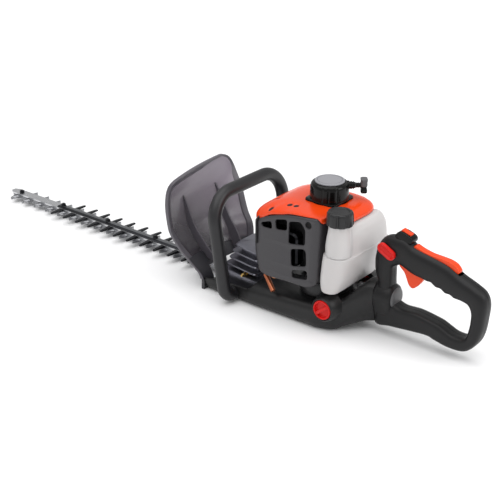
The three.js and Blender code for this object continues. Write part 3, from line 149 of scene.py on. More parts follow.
def rounded(corners, radius, steps=5):
    """A closed outline with its corners rounded: at each corner a parabola runs from a point
    radius before it to a point radius after it. Works on a whole stack of outlines at once."""
    corners = np.asarray(corners, float)
    before = np.roll(corners, 1, axis=-2) - corners
    after = np.roll(corners, -1, axis=-2) - corners
    radius = np.asarray(radius, float)[..., None]
    reach = [np.linalg.norm(side, axis=-1, keepdims=True) for side in (before, after)]
    a, b = (
        corners + side / length * np.minimum(radius, 0.49 * length)
        for side, length in zip((before, after), reach)
    )
    t = np.linspace(0, 1, steps)[:, None]
    a, b, corner = (points[..., :, None, :] for points in (a, b, corners))
    curve = (1 - t) ** 2 * a + 2 * t * (1 - t) * corner + t**2 * b
    return curve.reshape(*corners.shape[:-2], -1, 2)


def rectangle(half_wide, half_high, centre=(0.0, 0.0)):
    """The four corners of an upright rectangle about its centre."""
    signs = np.array([(-1, -1), (1, -1), (1, 1), (-1, 1)])
    return signs * np.array([half_wide, half_high]) + np.array(centre)


def level(outline, z):
    """A plan outline laid at a height."""
    return np.column_stack([outline, np.full(len(outline), z)])


def side_on(outline, y):
    """A side-view outline laid in the plane at y."""
    return np.column_stack([outline[:, 0], np.full(len(outline), y), outline[:, 1]])


def end_on(outline, x):
    """A front-view outline laid in the plane at x."""
    return np.column_stack([np.full(len(outline), x), outline])


def filled(loop):
    """Triangles across a closed flat loop of points, as indices into the loop."""
    return [tuple(t) for t in tessellate_polygon([[Vector(p) for p in loop]])]


def stack(rows, around=False, ends=True):
    """Points and faces of a skin over closed loops, rows[i, j] being point j of loop i. The first
    and last loops are filled if ends, or with around the last loop joins on to the first."""
    count, size = rows.shape[:2]
    j = np.arange(size)
    spans = count if around else count - 1
    i = np.arange(spans)[:, None] * size
    following = (np.arange(1, spans + 1)[:, None] % count) * size
    ahead = (j + 1) % size
    quads = np.stack([i + j, i + ahead, following + ahead, following + j], axis=-1).reshape(-1, 4)
    faces = quads.tolist()
    if ends and not around:
        faces += [t[::-1] for t in filled(rows[0])]
        faces += [tuple(k + (count - 1) * size for k in t) for t in filled(rows[-1])]
    return rows.reshape(-1, 3), faces


def closed_mesh(name, surface, material, sharp=32.0):
    """An object from points in millimetres and faces. Its faces are turned to look outwards, and
    it is shaded smooth up to the sharp angle."""
    points, faces = surface
    mesh = bpy.data.meshes.new(name)
    mesh.from_pydata((np.asarray(points) * MM).tolist(), [], faces)
    shape = bmesh.new()
    shape.from_mesh(mesh)
    bmesh.ops.remove_doubles(shape, verts=shape.verts, dist=2e-6)
    bmesh.ops.dissolve_degenerate(shape, edges=shape.edges, dist=1e-6)
    bmesh.ops.recalc_face_normals(shape, faces=shape.faces)
    shape.to_mesh(mesh)
    shape.free()
    mesh.shade_smooth()
    mesh.set_sharp_from_angle(angle=np.radians(sharp))
    mesh.materials.append(material)
    piece = bpy.data.objects.new(name, mesh)
    bpy.context.scene.collection.objects.link(piece)
    return piece


def make_piece(name, surface, material, body, nodes=(), sharp=32.0):
    """A closed mesh that rides on its body, in place of the named nodes."""
    piece = closed_mesh(name, surface, material, sharp)
    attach(piece, body)
    if nodes:
        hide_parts(*nodes)


def joined(*surfaces):
    """Several closed surfaces as one set of points and faces."""
    points, faces, start = [], [], 0
    for more_points, more_faces in surfaces:
        points.append(more_points)
        faces += [tuple(k + start for k in face) for face in more_faces]
        start += len(more_points)
    return np.concatenate(points), faces


def add(tree, kind, **inputs):
    """A shader node with some of its sockets set, or linked where the value is a socket."""
    node = tree.nodes.new(kind)
    for key, value in inputs.items():
        socket = node.inputs[int(key[1:])] if key[1:].isdigit() else node.inputs[key.replace("_", " ")]
        if isinstance(value, bpy.types.NodeSocket):
            tree.links.new(value, socket)
        else:
            socket.default_value = value
    return node


def shaded_by(tree, shader, colour, share):
    """Makes a finish's colour this colour, or this colour socket, times a share."""
    shade = add(tree, "ShaderNodeVectorMath", _0=colour, _1=share)
    shade.operation = "MULTIPLY"
    tree.links.new(shade.outputs[0], shader.inputs["Base Color"])


def varied(tree, shader, pattern, colour, mottle, gloss):
    """Lets a noise pattern shade the colour by the mottle either way, and carry the roughness
    between the two of gloss."""
    tint = add(tree, "ShaderNodeMapRange", Value=pattern, To_Min=1 - mottle, To_Max=1 + mottle)
    shaded_by(tree, shader, colour, tint.outputs[0])
    rough = add(tree, "ShaderNodeMapRange", Value=pattern, To_Min=gloss[0], To_Max=gloss[1])
    tree.links.new(rough.outputs[0], shader.inputs["Roughness"])


def embossed(tree, shader, pattern, depth, distance):
    """Lets a noise pattern stand on the surface as bump."""
    bump = add(tree, "ShaderNodeBump", Strength=depth, Distance=distance, Height=pattern)
    tree.links.new(bump.outputs[0], shader.inputs["Normal"])


def textured(name, colour, roughness, grain=900.0, depth=0.15, mottle=0.12, metallic=0.0, blotch=35.0):
    """A moulded or cast finish: broad blotches shade its colour and gloss a little either way,
    and a fine grain of its own size stands on the surface."""
    material, shader = new_material(name, colour, roughness, metallic)
    tree = material.node_tree
    place = add(tree, "ShaderNodeTexCoord").outputs["Object"]
    cloud = add(tree, "ShaderNodeTexNoise", Vector=place, Scale=blotch, Detail=4.0).outputs["Fac"]
    gloss = (roughness * (1 - mottle), min(1.0, roughness * (1 + mottle)))
    varied(tree, shader, cloud, colour, mottle, gloss)
    fine = add(tree, "ShaderNodeTexNoise", Vector=place, Scale=grain, Detail=3.0).outputs["Fac"]
    embossed(tree, shader, fine, depth, 0.0004)
    return material, shader


black_nylon, nylon_shader = textured("black_nylon", (0.008, 0.008, 0.0084), 0.38, grain=1500.0, depth=0.25)
nylon_shader.inputs["Specular IOR Level"].default_value = 0.36

base_low, base_high = box_of("base_frame")
front_x, seam_x = base_high[0], base_low[0]
sole_half, crease_half = 62.0, base_high[1]

# Each row: distance along X, then half the section from the sole's edge up to the deck, as [y, z].
BASE_SECTIONS = [
    (front_x, [(60, 0), (68, 6), (69, 20), (66, 23), (56, 12)]),
    (186, [(61, 0), (70, 7), (70.5, 24), (67, 27), (58, 12)]),
    (160, [(61, 0), (70, 8), (70.5, 27), (66, 29), (58, 12)]),
    (132, [(60, 0), (70, 8), (70.5, 28), (66, 30), (58, 13)]),
    (119, [(61, 0), (70, 8), (71, 26), (67, 31), (58, 16)]),
    (108, [(sole_half, 0), (71, 8), (crease_half, 27), (66, 34), (52, 39)]),
    (-15, [(sole_half, 0), (71, 12), (crease_half, 36), (64, 45), (50, 46)]),
    (-48, [(52, 0), (63, 12), (67, 44), (60, 54), (44, 52)]),
    (-64, [(44, 8), (54, 20), (56, 50), (45, 61), (20, 62)]),
    (-80, [(31, 14), (42, 28), (40, 62), (30, 77), (12, 81)]),
    (-92, [(18, 17), (29, 34), (31, 68), (22, 85), (8, 89.5)]),
    (seam_x, [(9, 17), (13, 30), (22.6, 60), (20, 82), (8, 90)]),
]
CORNER_RADII = [7, 9, 7, 6, 9]

keys = np.array([x for x, _ in BASE_SECTIONS])
halves = np.array([half for _, half in BASE_SECTIONS])
along = np.concatenate([
    np.linspace(front_x, 130, 18),
    np.linspace(128, 100, 18),
    np.linspace(97, -40, 30),
    np.linspace(-43, seam_x, 34),
])
half_rows = flowing(-along, -keys, halves)
mirror = half_rows[:, ::-1] * np.array([-1, 1])
outline = rounded(np.concatenate([half_rows, mirror], axis=1), CORNER_RADII + CORNER_RADII[::-1], 7)
base_rows = np.dstack([np.broadcast_to(along[:, None], outline.shape[:2]), outline])
make_piece("base_tub", stack(base_rows), black_nylon, "chassis", ["base_frame"])

# ---------------------------------------------------------------- mount plugs
# A red quarter-turn plug holds each side of the engine's soft mount. It sits in a raised black
# socket, with a rim round its face and a bar across it for the fingers.

SOCKET_WALL = 4.2
PLUG_SIDES = 56
PLUG_BAR_HALF = (13.6, 2.6)
PLUG_BAR_ANGLE = 40.0

red_nylon, red_shader = textured(
    "red_nylon", (0.62, 0.010, 0.008), 0.33, grain=1200.0, depth=0.12, mottle=0.06)
red_shader.inputs["Specular IOR Level"].default_value = 0.25


def turned(profile, centre, axis, sides=48, closed=False):
    """Points of a profile [distance along the axis, radius] turned round an axis through centre.
    With closed the profile joins on to itself, as a ring does."""
    profile = np.asarray(profile, float)
    axis = np.asarray(axis, float) / np.linalg.norm(axis)
    side = np.cross(axis, (0.0, 0.0, 1.0) if abs(axis[2]) < 0.9 else (1.0, 0.0, 0.0))
    side /= np.linalg.norm(side)
    angle = np.linspace(0, 2 * np.pi, sides, endpoint=False)[:, None]
    spoke = np.cos(angle) * side + np.sin(angle) * np.cross(axis, side)
    rows = np.asarray(centre, float) + profile[:, :1, None] * axis + profile[:, 1:, None] * spoke
    return stack(rows, around=closed)


def bar_block(centre, half, depth, way, angle):
    """A rounded bar seen along Y: a rounded rectangle turned by an angle and carried along Y, at
    its share of full size at each depth."""
    outline = rounded(rectangle(*half), 1.5, 5)
    turn = np.radians(angle)
    spin = np.array([[np.cos(turn), np.sin(turn)], [-np.sin(turn), np.cos(turn)]])
    outline = outline @ spin
    return stack(np.array([side_on(outline * share + centre, way * y) for y, share in depth]))


for side, way in (("left", 1), ("right", -1)):
    plug_low, plug_high = box_of(f"mount_plug_{side}")
    centre = (plug_low + plug_high) / 2
    reach = plug_high[1] if way > 0 else -plug_low[1]
    radius = (plug_high[0] - plug_low[0]) / 2
    face = [
        (46, 0.01), (46, 6), (60.3, 6), (60.3, radius), (reach - 1.4, radius), (reach - 0.4, radius - 0.5),
        (reach, radius - 1.5), (reach - 0.6, radius - 2.6), (reach - 4.2, radius - 3.2),
        (reach - 5, radius - 4.2), (reach - 4.4, 0.01),
    ]
    disc = turned(face, (centre[0], 0, centre[2]), (0, way, 0), PLUG_SIDES)
    grip = bar_block(
        (centre[0], centre[2]),
        PLUG_BAR_HALF,
        [(reach - 7, 1.0), (reach - 1.2, 1.0), (reach - 0.4, 0.93), (reach - 0.1, 0.8)],
        way,
        -PLUG_BAR_ANGLE,
    )
    make_piece(f"plug_{side}", joined(disc, grip), red_nylon, f"{side}_plug_set", [f"mount_plug_{side}"])
    inner, outer = radius + 0.5, radius + SOCKET_WALL
    wall = [
        (50, inner), (reach - 2.4, inner), (reach - 1.2, inner + 0.9), (reach - 1.2, outer - 1.6),
        (reach - 3, outer), (62, outer + 2.5), (50, outer + 5),
    ]
    socket = turned(wall, (centre[0], 0, centre[2]), (0, way, 0), PLUG_SIDES, closed=True)
    make_piece(f"plug_socket_{side}", socket, black_nylon, "chassis")

# ---------------------------------------------------------------- gear case
# A die-cast aluminium box over the cutter's gears. Thin fins stand in a stack on its front end,
# where the case gets hot, and a brass grease nipple is screwed in between two of them.

CASE_REAR = 101.0
CASE_HALVES = (52.0, 38.0)
CASE_ROOF = 37.0
# Plans from the rear, to the front, and half as wide at each: a fin's edge, and the core inside it.
FIN_PLAN = np.array([114.0, 194.0, 52.0, 42.0])
CORE_PLAN = np.array([120.0, 184.0, 34.0, 27.0])
KNOB_PLAN = (122.0, 172.0, 26.0, 20.0)
FIN_TOPS = (49.0, 61.0, 73.0, 85.0)
FIN_THICKNESS = 3.0
FIN_SHRINK = 2.5
FIN_BEVEL = 0.7
CASE_CORNER, CORE_CORNER = 8.0, 6.0

cast_metal, _ = textured(
    "cast_metal", (0.19, 0.19, 0.22), 0.3, grain=700.0, depth=0.35, mottle=0.2, metallic=0.9)
case_low, case_high = box_of("gear_case")


def wedge(rear_x, front_x, rear_half, front_half, radius):
    """A plan outline like a tray: wide at the rear, narrower in front, with rounded corners."""
    corners = [(rear_x, -rear_half), (front_x, -front_half), (front_x, front_half), (rear_x, rear_half)]
    return rounded(corners, radius, 6)


drawn_together = np.array([1, -1, -1, -1])
case_plan = np.array([CASE_REAR, case_high[0], *CASE_HALVES])
case_floor = case_low[2]
case_levels = [(1, case_floor), (0, case_floor + 1), (0, CASE_ROOF - 3), (1, CASE_ROOF - 1), (3, CASE_ROOF)]
case_rows = []
for inset, z in case_levels:
    case_rows.append(level(wedge(*(case_plan + inset * drawn_together), CASE_CORNER), z))
for i, top in enumerate(FIN_TOPS, start=1):
    shrink = FIN_SHRINK * i
    core = wedge(*(CORE_PLAN - np.array([0, 2 * shrink, 0, 0])), CORE_CORNER)
    fin_plan = FIN_PLAN - np.array([0, 2 * shrink, shrink, shrink])
    edge = wedge(*fin_plan, CASE_CORNER)
    bevelled = wedge(*(fin_plan + FIN_BEVEL * drawn_together), CASE_CORNER)
    case_rows += [
        level(core, (CASE_ROOF if i == 1 else FIN_TOPS[i - 2]) + 0.01),
        level(core, top - FIN_THICKNESS),
        level(bevelled, top - FIN_THICKNESS),
        level(edge, top - FIN_THICKNESS + FIN_BEVEL),
        level(edge, top - FIN_BEVEL),
        level(bevelled, top),
    ]
case_rows.append(level(wedge(*KNOB_PLAN, CORE_CORNER), case_high[2]))
make_piece("gear_case_casting", stack(np.array(case_rows)), cast_metal, "chassis", ["gear_case"])

# ---------------------------------------------------------------- clutch and engine castings
# The clutch housing and the crankcase are turned castings on the crankshaft's axis. The housing is coloured
# near black, as painted shade for the dark gap it shows in, and its skirt has ribs; the engine's own
# castings stay bare, their colour darkened as painted shade.

CLUTCH_NECK = 70.0
CLUTCH_RIBS = 12
RIB_HALF = 1.2
RIB_ROOT = 21.0

# Near black on the clutch housing: painted shade for the dark gap between the base and the muffler cover,
# where it shows.
clutch_shade_black, _ = textured(
    "clutch_shade_black", (0.022, 0.022, 0.024), 0.36, grain=600.0, depth=0.3, mottle=0.2, metallic=0.2)
# Cast metal for the crankcase and cylinder, darkened to a mid grey as painted shade for the engine's
# enclosed insides.
cast_in_painted_shade, _ = textured(
    "cast_in_painted_shade", (0.26, 0.265, 0.28), 0.45, grain=700.0, depth=0.35, mottle=0.25, metallic=0.85)

clutch_low, clutch_high = box_of("clutch_housing")
clutch_radius = clutch_high[0]
seat_z = clutch_high[2]
skirt = [
    (clutch_low[2], 0.01), (clutch_low[2], clutch_radius - 1), (clutch_low[2] + 1, clutch_radius),
    (CLUTCH_NECK - 5, clutch_radius), (CLUTCH_NECK - 1.5, clutch_radius - 2),
    (CLUTCH_NECK, clutch_radius - 6), (CLUTCH_NECK + 2, 23), (CLUTCH_NECK + 5, 20.4), (seat_z - 0.5, 20),
    (seat_z, 19.5), (seat_z, 0.01),
]
housing = turned(skirt, (0, 0, 0), (0, 0, 1), 72)
rib_length = clutch_radius - 5 - RIB_ROOT
rib_plan = rounded(rectangle(rib_length / 2, RIB_HALF, (RIB_ROOT + rib_length / 2, 0)), 0.9, 4)
ribs = []
for spoke in range(CLUTCH_RIBS):
    turn = 2 * np.pi * spoke / CLUTCH_RIBS
    out, side = np.array([np.cos(turn), np.sin(turn)]), np.array([-np.sin(turn), np.cos(turn)])
    flat = rib_plan[:, :1] * out + rib_plan[:, 1:] * side
    ribs.append(stack(np.array([level(flat, CLUTCH_NECK - 3), level(flat, CLUTCH_NECK + 2.4)])))
make_piece("clutch_cover", joined(housing, *ribs), clutch_shade_black, "chassis", ["clutch_housing"])

# ---------------------------------------------------------------- cutter
# Two toothed steel blades slide on each other under a bright guide bar. A blackened guard with
# longer teeth covers their rear part, and bolts with hexagon nuts hold the stack together.


def rolled(name, colour, roughness, streak=(40.0, 900.0, 900.0), depth=0.2, mottle=0.18):
    """Rolled or ground metal: a noise drawn out along X shades its colour, gloss and surface."""
    material, shader = new_material(name, colour, roughness, 1.0)
    tree = material.node_tree
    place = add(tree, "ShaderNodeTexCoord").outputs["Object"]
    drawn = add(tree, "ShaderNodeMapping", Vector=place, Scale=streak).outputs[0]
    lines = add(tree, "ShaderNodeTexNoise", Vector=drawn, Scale=1.0, Detail=3.0).outputs["Fac"]
    varied(tree, shader, lines, colour, mottle, (roughness * 0.8, roughness * 1.25))
    embossed(tree, shader, lines, depth, 0.0002)
    return material


blade_steel = rolled("blade_steel", (0.34, 0.345, 0.36), 0.34)
bright_steel = rolled("bright_steel", (0.58, 0.585, 0.60), 0.26)
black_oxide = rolled("black_oxide", (0.03, 0.0305, 0.034), 0.36)


def finish_nodes(material, *nodes):
    """Gives CAD nodes this finish in place of the one they came with."""
    for node in nodes:
        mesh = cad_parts[node].data
        mesh.materials.clear()
        mesh.materials.append(material)


finish_nodes(bright_steel, "guide_bar", "upper_blade_yoke", "lower_blade_yoke")
finish_nodes(black_oxide, *[f"blade_bolt_{i}" for i in (1, 2, 3, 4)])

TOOTH_PITCH = 35.0
# How far the first tooth on each side stands back from the tip, for the blades and the guard.
BLADE_FIRST = {1: 12.0, -1: 35.5}
GUARD_FIRST = {1: 13.4, -1: 36.9}
BLADE_LAST, GUARD_LAST = 224.0, 240.0
BLADE_SPINE = 11.0
BLADE_TOOTH = {"root_half": 6.2, "tip_half": 1.3, "root": 9.0, "bevel": 0.55, "land": 0.5}
GUARD_TOOTH = {"root_half": 5.4, "tip_half": 3.0, "low": 14.9, "slope": 0.7}
RAIL_SECTION = [(-8.2, 14.9), (8.2, 14.9), (8.2, 18.9), (4.6, 20.6), (-4.6, 20.6), (-8.2, 18.9)]
RIDGE_SECTION = [(-3.2, 20.2), (3.2, 20.2), (2.9, 21.7), (-2.9, 21.7)]

# The ridge along the guard's crest is a lighter grey than the blackened guard: a painted highlight along it.
ridge_painted_highlight = rolled("ridge_painted_highlight", (0.16, 0.165, 0.175), 0.36)
guard_low, guard_high = box_of("tooth_guard")


def rail(section, rear_x, front_x, nose):
    """A bar of one section along X, drawn together a little over the nose at each end."""
    ring = rounded(section, 0.8, 4)
    middle = ring.mean(axis=0)
    rows = []
    for x, share in ((rear_x, 0.9), (rear_x + nose, 1.0), (front_x - nose, 1.0), (front_x, 0.86)):
        rows.append(end_on(middle + (ring - middle) * share, x))
    return stack(np.array(rows))


def guard_tooth(x, way):
    """One long tooth: a flat tapered bar from the rail out to its tip, thinner at the tip."""
    rows = []
    root_half, tip_half, low, slope = GUARD_TOOTH.values()
    sections = [
        (6, root_half + 1.6, 18.2), (12, root_half, 18.2), (24, (root_half + tip_half) / 2, 17.8),
        (34.6, tip_half, 17.2), (guard_high[1], 0.9, 16.6),
    ]
    for y, half, top in sections:
        corners = [(x - half, low), (x + half, low), (x + half * slope, top), (x - half * slope, top)]
        rows.append(side_on(rounded(corners, 0.5, 3), way * y))
    return stack(np.array(rows))


def blade_tooth(x, way, low, high, tip_y):
    """One pointed tooth, ground to a bevel along both of its cutting edges."""
    rows = []
    root_half, tip_half, root, bevel, land = BLADE_TOOTH.values()
    sections = [(0, root_half + 1.5), (0.2, root_half), (0.55, root_half * 0.62), (0.9, tip_half), (1, 0.5)]
    for along, half in sections:
        ring = np.array([
            (x - half, low), (x + half, low), (x + half, low + land), (x + half * bevel, high),
            (x - half * bevel, high), (x - half, low + land),
        ])
        rows.append(side_on(ring, way * (root + (tip_y - root) * along)))
    return stack(np.array(rows))


for blade, body in (("upper", "upper_blade_set"), ("lower", "lower_blade_set")):
    blade_low, blade_high = box_of(f"{blade}_blade")
    low, high = blade_low[2], blade_high[2]
    spine = rectangle(BLADE_SPINE, (high - low) / 2, (0, (low + high) / 2))
    comb = [rail(spine, blade_low[0], blade_high[0], 6.0)]
    for way, first in BLADE_FIRST.items():
        for x in np.arange(blade_high[0] - first, BLADE_LAST, -TOOTH_PITCH):
            comb.append(blade_tooth(x, way, low, high, blade_high[1]))
    make_piece(f"{blade}_comb", joined(*comb), blade_steel, body, [f"{blade}_blade"])

teeth = []
for way, first in GUARD_FIRST.items():
    for x in np.arange(guard_high[0] - first, GUARD_LAST, -TOOTH_PITCH):
        teeth.append(guard_tooth(x, way))
guard_rail = joined(rail(RAIL_SECTION, guard_low[0], guard_high[0], 3.0), *teeth)
make_piece("guard_teeth", guard_rail, black_oxide, "chassis", ["tooth_guard"])
# A narrow lighter strip on the guard's crest, as a painted highlight.
guard_ridge = rail(RIDGE_SECTION, guard_low[0] + 1, guard_high[0] - 4, 1.0)
make_piece("guard_ridge", guard_ridge, ridge_painted_highlight, "chassis")

# ---------------------------------------------------------------- engine and transmission insides
# Steel gears, clutch and crank, a cast piston, a finned cast cylinder and the ignition. They sit behind the
# covers, so each has the plain finish of its stock: ground, cast, moulded or blackened. The crankcase's and
# cylinder's cast metal is darkened to a mid grey as painted shade for the enclosed insides.

shroud_nylon, _ = textured("shroud_nylon", (0.012, 0.012, 0.013), 0.5, grain=1200.0, depth=0.2)
grey_nylon, _ = textured("grey_nylon", (0.44, 0.44, 0.46), 0.38, grain=1400.0, depth=0.15, mottle=0.06)
brass, _ = textured("brass", (0.62, 0.42, 0.14), 0.28, grain=500.0, depth=0.15, mottle=0.15, metallic=1.0)
copper, _ = textured("copper", (0.50, 0.22, 0.11), 0.34, grain=500.0, depth=0.15, mottle=0.25, metallic=1.0)
soft_rubber, _ = textured("soft_rubber", (0.02, 0.02, 0.021), 0.7, grain=1300.0, depth=0.3)

finish_nodes(cast_metal, "gear_case_cover", "piston", "connecting_rod", "flywheel", "carburettor")
finish_nodes(bright_steel, "cam_gear", "drive_pinion", "crankshaft_lower", "crankshaft_upper", "spark_plug",
             "swivel_bolt")
finish_nodes(blade_steel, "clutch_drum", "clutch_shoe_left", "clutch_shoe_right", "ignition_coil")
finish_nodes(cast_in_painted_shade, "crankcase_lower", "crankcase_upper", "cylinder")
finish_nodes(brass, "grease_nipple")
finish_nodes(copper, "exhaust_pipe")
finish_nodes(shroud_nylon, "fan_shroud", "plug_boot", "filter_base")
finish_nodes(grey_nylon, "starter_reel")
finish_nodes(soft_rubber, "cap_gasket")
finish_nodes(black_oxide, "muffler")

# ---------------------------------------------------------------- muffler cover
# A dark grey heat-proof moulding over the exhaust side. Windows through its face let the heat
# out; the face rolls over into a deep rim, and each window's edge is rounded.

COVER_OUTLINE = [
    (-33, 86), (-16, 76.5), (23, 76), (64, 73.5), (86, 78), (94, 108), (95, 132), (92, 168), (60, 184),
    (20, 195), (-34, 201), (-37.5, 190),
]
COVER_CORNERS = [7, 8, 12, 10, 12, 12, 12, 12, 16, 16, 5, 5]
COVER_WINDOWS = [
    [(78, 167.5), (56, 175), (55, 161.5), (75, 160.5)],
    [(49, 180), (25, 186), (25, 167), (47, 163)],
    [(21, 184), (-2, 189), (-11, 178), (-11, 151), (22, 145)],
    [(17, 137), (-8, 144), (-13, 141), (-14, 115), (16, 107)],
    [(14, 101), (-16, 108), (-17, 92), (14, 87)],
]
COVER_EYE = (-17, 187.5, 6.0)
COVER_WALL = 2.5
COVER_EDGE = (4.0, 9.5)

muffler_nylon, _ = textured("muffler_nylon", (0.032, 0.030, 0.034), 0.4, grain=1100.0, depth=0.3, mottle=0.1)


def drawn_in(outline, distance):
    """A closed outline moved inwards: each point goes along the mean of its two sides' normals,
    far enough for the sides themselves to move by the distance."""
    outline = np.asarray(outline, float)
    distance = np.asarray(distance, float).reshape(-1, 1)
    ahead = np.roll(outline, -1, axis=0) - outline
    behind = np.roll(ahead, 1, axis=0)
    next_point = np.roll(outline, -1, axis=0)
    turn = np.sign(np.sum(outline[:, 0] * next_point[:, 1] - next_point[:, 0] * outline[:, 1]))
    normals = [np.column_stack([-side[:, 1], side[:, 0]]) for side in (ahead, behind)]
    normals = [normal / np.linalg.norm(normal, axis=1)[:, None] for normal in normals]
    mean = normals[0] + normals[1]
    reach = np.maximum(np.sum(mean * normals[0], axis=1), 0.4)[:, None]
    return outline + turn * distance * mean / reach


def pierced(outline, holes, lay, level_at):
    """The flat face between an outline and the holes in it, as points and triangles."""
    loops = [lay(np.asarray(loop), level_at) for loop in (outline, *holes)]
    faces = tessellate_polygon([[Vector(p) for p in loop] for loop in loops])
    return np.concatenate(loops), [tuple(face) for face in faces]


def slab(outline, low, high, edge, lay):
    """A flat outline carried from low to high across its plane, with both of its edges rolled over
    a quarter circle of radius edge. lay puts the outline at a height."""
    rows = []
    for base, way in ((low, 1), (high, -1)):
        quarter = [lay(drawn_in(outline, edge * (1 - np.sin(a))), base + way * edge * (1 - np.cos(a)))
                   for a in np.radians([0, 22.5, 45, 67.5, 90])]
        rows += quarter if way > 0 else quarter[::-1]
    return stack(np.array(rows))


cover_low, cover_high = box_of("muffler_cover")
face_y, rim_y = cover_high[1], cover_low[1]
outline = rounded(COVER_OUTLINE, COVER_CORNERS, 6)
eye_turn = np.linspace(0, 2 * np.pi, 28, endpoint=False)
eye_x, eye_z, eye_radius = COVER_EYE
windows = [rounded(corners, 5, 5) for corners in COVER_WINDOWS]
eye = np.column_stack([eye_x + eye_radius * np.cos(eye_turn), eye_z + eye_radius * np.sin(eye_turn)])
windows.append(eye)
# The edge rolls over within a few millimetres at the top and foot, and more at the front and rear.
least_edge, more_edge = COVER_EDGE
facing = outline - drawn_in(outline, 1.0)
edge = least_edge + more_edge * np.clip(np.abs(facing[:, 0]), 0, 1) ** 3
fall = least_edge + 0.55 * (edge - least_edge)
back_edge, back_fall = edge - COVER_WALL, fall - COVER_WALL * 0.6
back_y = face_y - COVER_WALL


def rolled_edge(inset, reach, drop, top_y, angle):
    """The cover's outline at one angle round the roll of its edge: drawn in by the inset and by
    reach times one minus the sine, and down from the face by drop times one minus the cosine."""
    ring = drawn_in(outline, inset + reach * (1 - np.sin(angle)))
    return np.column_stack([ring[:, 0], top_y - drop * (1 - np.cos(angle)), ring[:, 1]])


roll = np.radians([0, 18, 36, 54, 72, 90])
rim_rows = [rolled_edge(0.0, edge, fall, face_y, a) for a in roll]
rim_rows += [side_on(outline, rim_y), side_on(drawn_in(outline, COVER_WALL), rim_y)]
rim_rows += [rolled_edge(COVER_WALL, back_edge, back_fall, back_y, a) for a in roll[::-1]]
lip = [(-1.0, face_y), (-0.35, face_y - 0.3), (0.0, face_y - 1.0), (0.0, back_y)]
window_lips = []
for window in windows:
    lip_rows = [side_on(drawn_in(window, inset), y) for inset, y in lip]
    window_lips.append(stack(np.array(lip_rows), ends=False))
opened = [drawn_in(window, -1.0) for window in windows]
muffler_shell = joined(
    pierced(drawn_in(outline, edge), opened, side_on, face_y),
    stack(np.array(rim_rows), ends=False),
    pierced(drawn_in(outline, COVER_WALL + back_edge), windows, side_on, back_y),
    *window_lips,
)
make_piece("muffler_shell", muffler_shell, muffler_nylon, "chassis", ["muffler_cover"],
           sharp=40.0)

# ---------------------------------------------------------------- shade sheets behind the muffler cover
# Two black nylon sheets, one between the cover and the flywheel's side of the engine and one across the
# front, as painted shade: they close off what shows through the cover's windows, so these look dark.

SHADE_SHEET_OUTLINE = [
    (-31, 88), (22, 88), (22.5, 145), (86, 145), (86, 166), (60, 177.5), (20, 188), (-31, 194),
]
SHADE_SHEET_FACES = (44.5, 47.2)
FRONT_WALL = [(47.4, 128), (83, 128), (83, 172), (72, 176), (47.4, 166)]
FRONT_WALL_FACES = (84.6, 87.0)

side_wall = slab(rounded(SHADE_SHEET_OUTLINE, 4, 4), *SHADE_SHEET_FACES, 0.6, side_on)
make_piece("window_shade_sheet", side_wall, shroud_nylon, "chassis")
end_wall = slab(rounded(FRONT_WALL, 4, 4), *FRONT_WALL_FACES, 0.5, end_on)
make_piece("window_shade_front", end_wall, shroud_nylon, "chassis")

# ---------------------------------------------------------------- exhaust tail
# A short copper coloured pipe slants down and back from the muffler, out below its cover, and
# sends the fumes towards the ground.

TAIL_START, TAIL_END = np.array([79.0, 64.5, 68.0]), np.array([56.0, 73.2, 47.0])
TAIL_RADIUS, TAIL_BORE = 4.2, 3.3
BORE_DEPTH = 12.0

tail_copper, _ = textured(
    "tail_copper", (0.46, 0.15, 0.075), 0.36, grain=500.0, depth=0.2, mottle=0.3, metallic=0.9)
tail_length = np.linalg.norm(TAIL_END - TAIL_START)
tail_profile = [
    (0, 0.01), (0, TAIL_RADIUS), (tail_length - 0.3, TAIL_RADIUS), (tail_length, TAIL_RADIUS - 0.3),
    (tail_length, TAIL_BORE), (tail_length - BORE_DEPTH, TAIL_BORE), (tail_length - BORE_DEPTH, 0.01),
]
exhaust_tail = turned(tail_profile, TAIL_START, TAIL_END - TAIL_START, 32)
make_piece("exhaust_tail", exhaust_tail, tail_copper, "chassis")

# ---------------------------------------------------------------- air filter, choke and primer
# The filter's cover is a ribbed black box clipped over the right side. The choke lever pokes up
# behind it, and a rubber bulb primes the carburettor.

FILTER_RIBS = 5
FILTER_CORNER = 16.0
FILTER_EDGE = 9.0
RIB_MARGIN = (14.0, 18.0)

filter_low, filter_high = box_of("filter_cover")
filter_half, filter_middle = (filter_high - filter_low) / 2, (filter_high + filter_low) / 2
filter_plan = rectangle(filter_half[0], filter_half[2], (filter_middle[0], filter_middle[2]))
filter_outline = rounded(filter_plan, FILTER_CORNER, 8)
filter_rows = []
for angle in np.radians(np.linspace(90, 0, 7)):
    y = filter_low[1] + 1.6 + FILTER_EDGE * (1 - np.sin(angle))
    filter_rows.append(side_on(drawn_in(filter_outline, FILTER_EDGE * (1 - np.cos(angle))), y))
filter_rows.append(side_on(filter_outline, filter_high[1]))
rib_zs = np.linspace(filter_low[2] + RIB_MARGIN[1], filter_high[2] - RIB_MARGIN[1], FILTER_RIBS)
ribs = []
for z in rib_zs:
    bar = rounded(rectangle(filter_half[0] - RIB_MARGIN[0], 2, (filter_middle[0], z)), 1.9, 5)
    ribs.append(slab(bar, filter_low[1], filter_low[1] + 4, 1.0, side_on))
filter_lid = joined(stack(np.array(filter_rows)), *ribs)
make_piece("filter_lid", filter_lid, black_nylon, "chassis", ["filter_cover"])
finish_nodes(soft_rubber, "primer_bulb")
finish_nodes(red_nylon, "choke_lever")

# ---------------------------------------------------------------- engine cover
# A glossy orange dome moulded in one piece, open in the middle for the starter. It is screwed down
# to the shroud, and its skirt is cut back over the muffler cover, the tank and the choke.

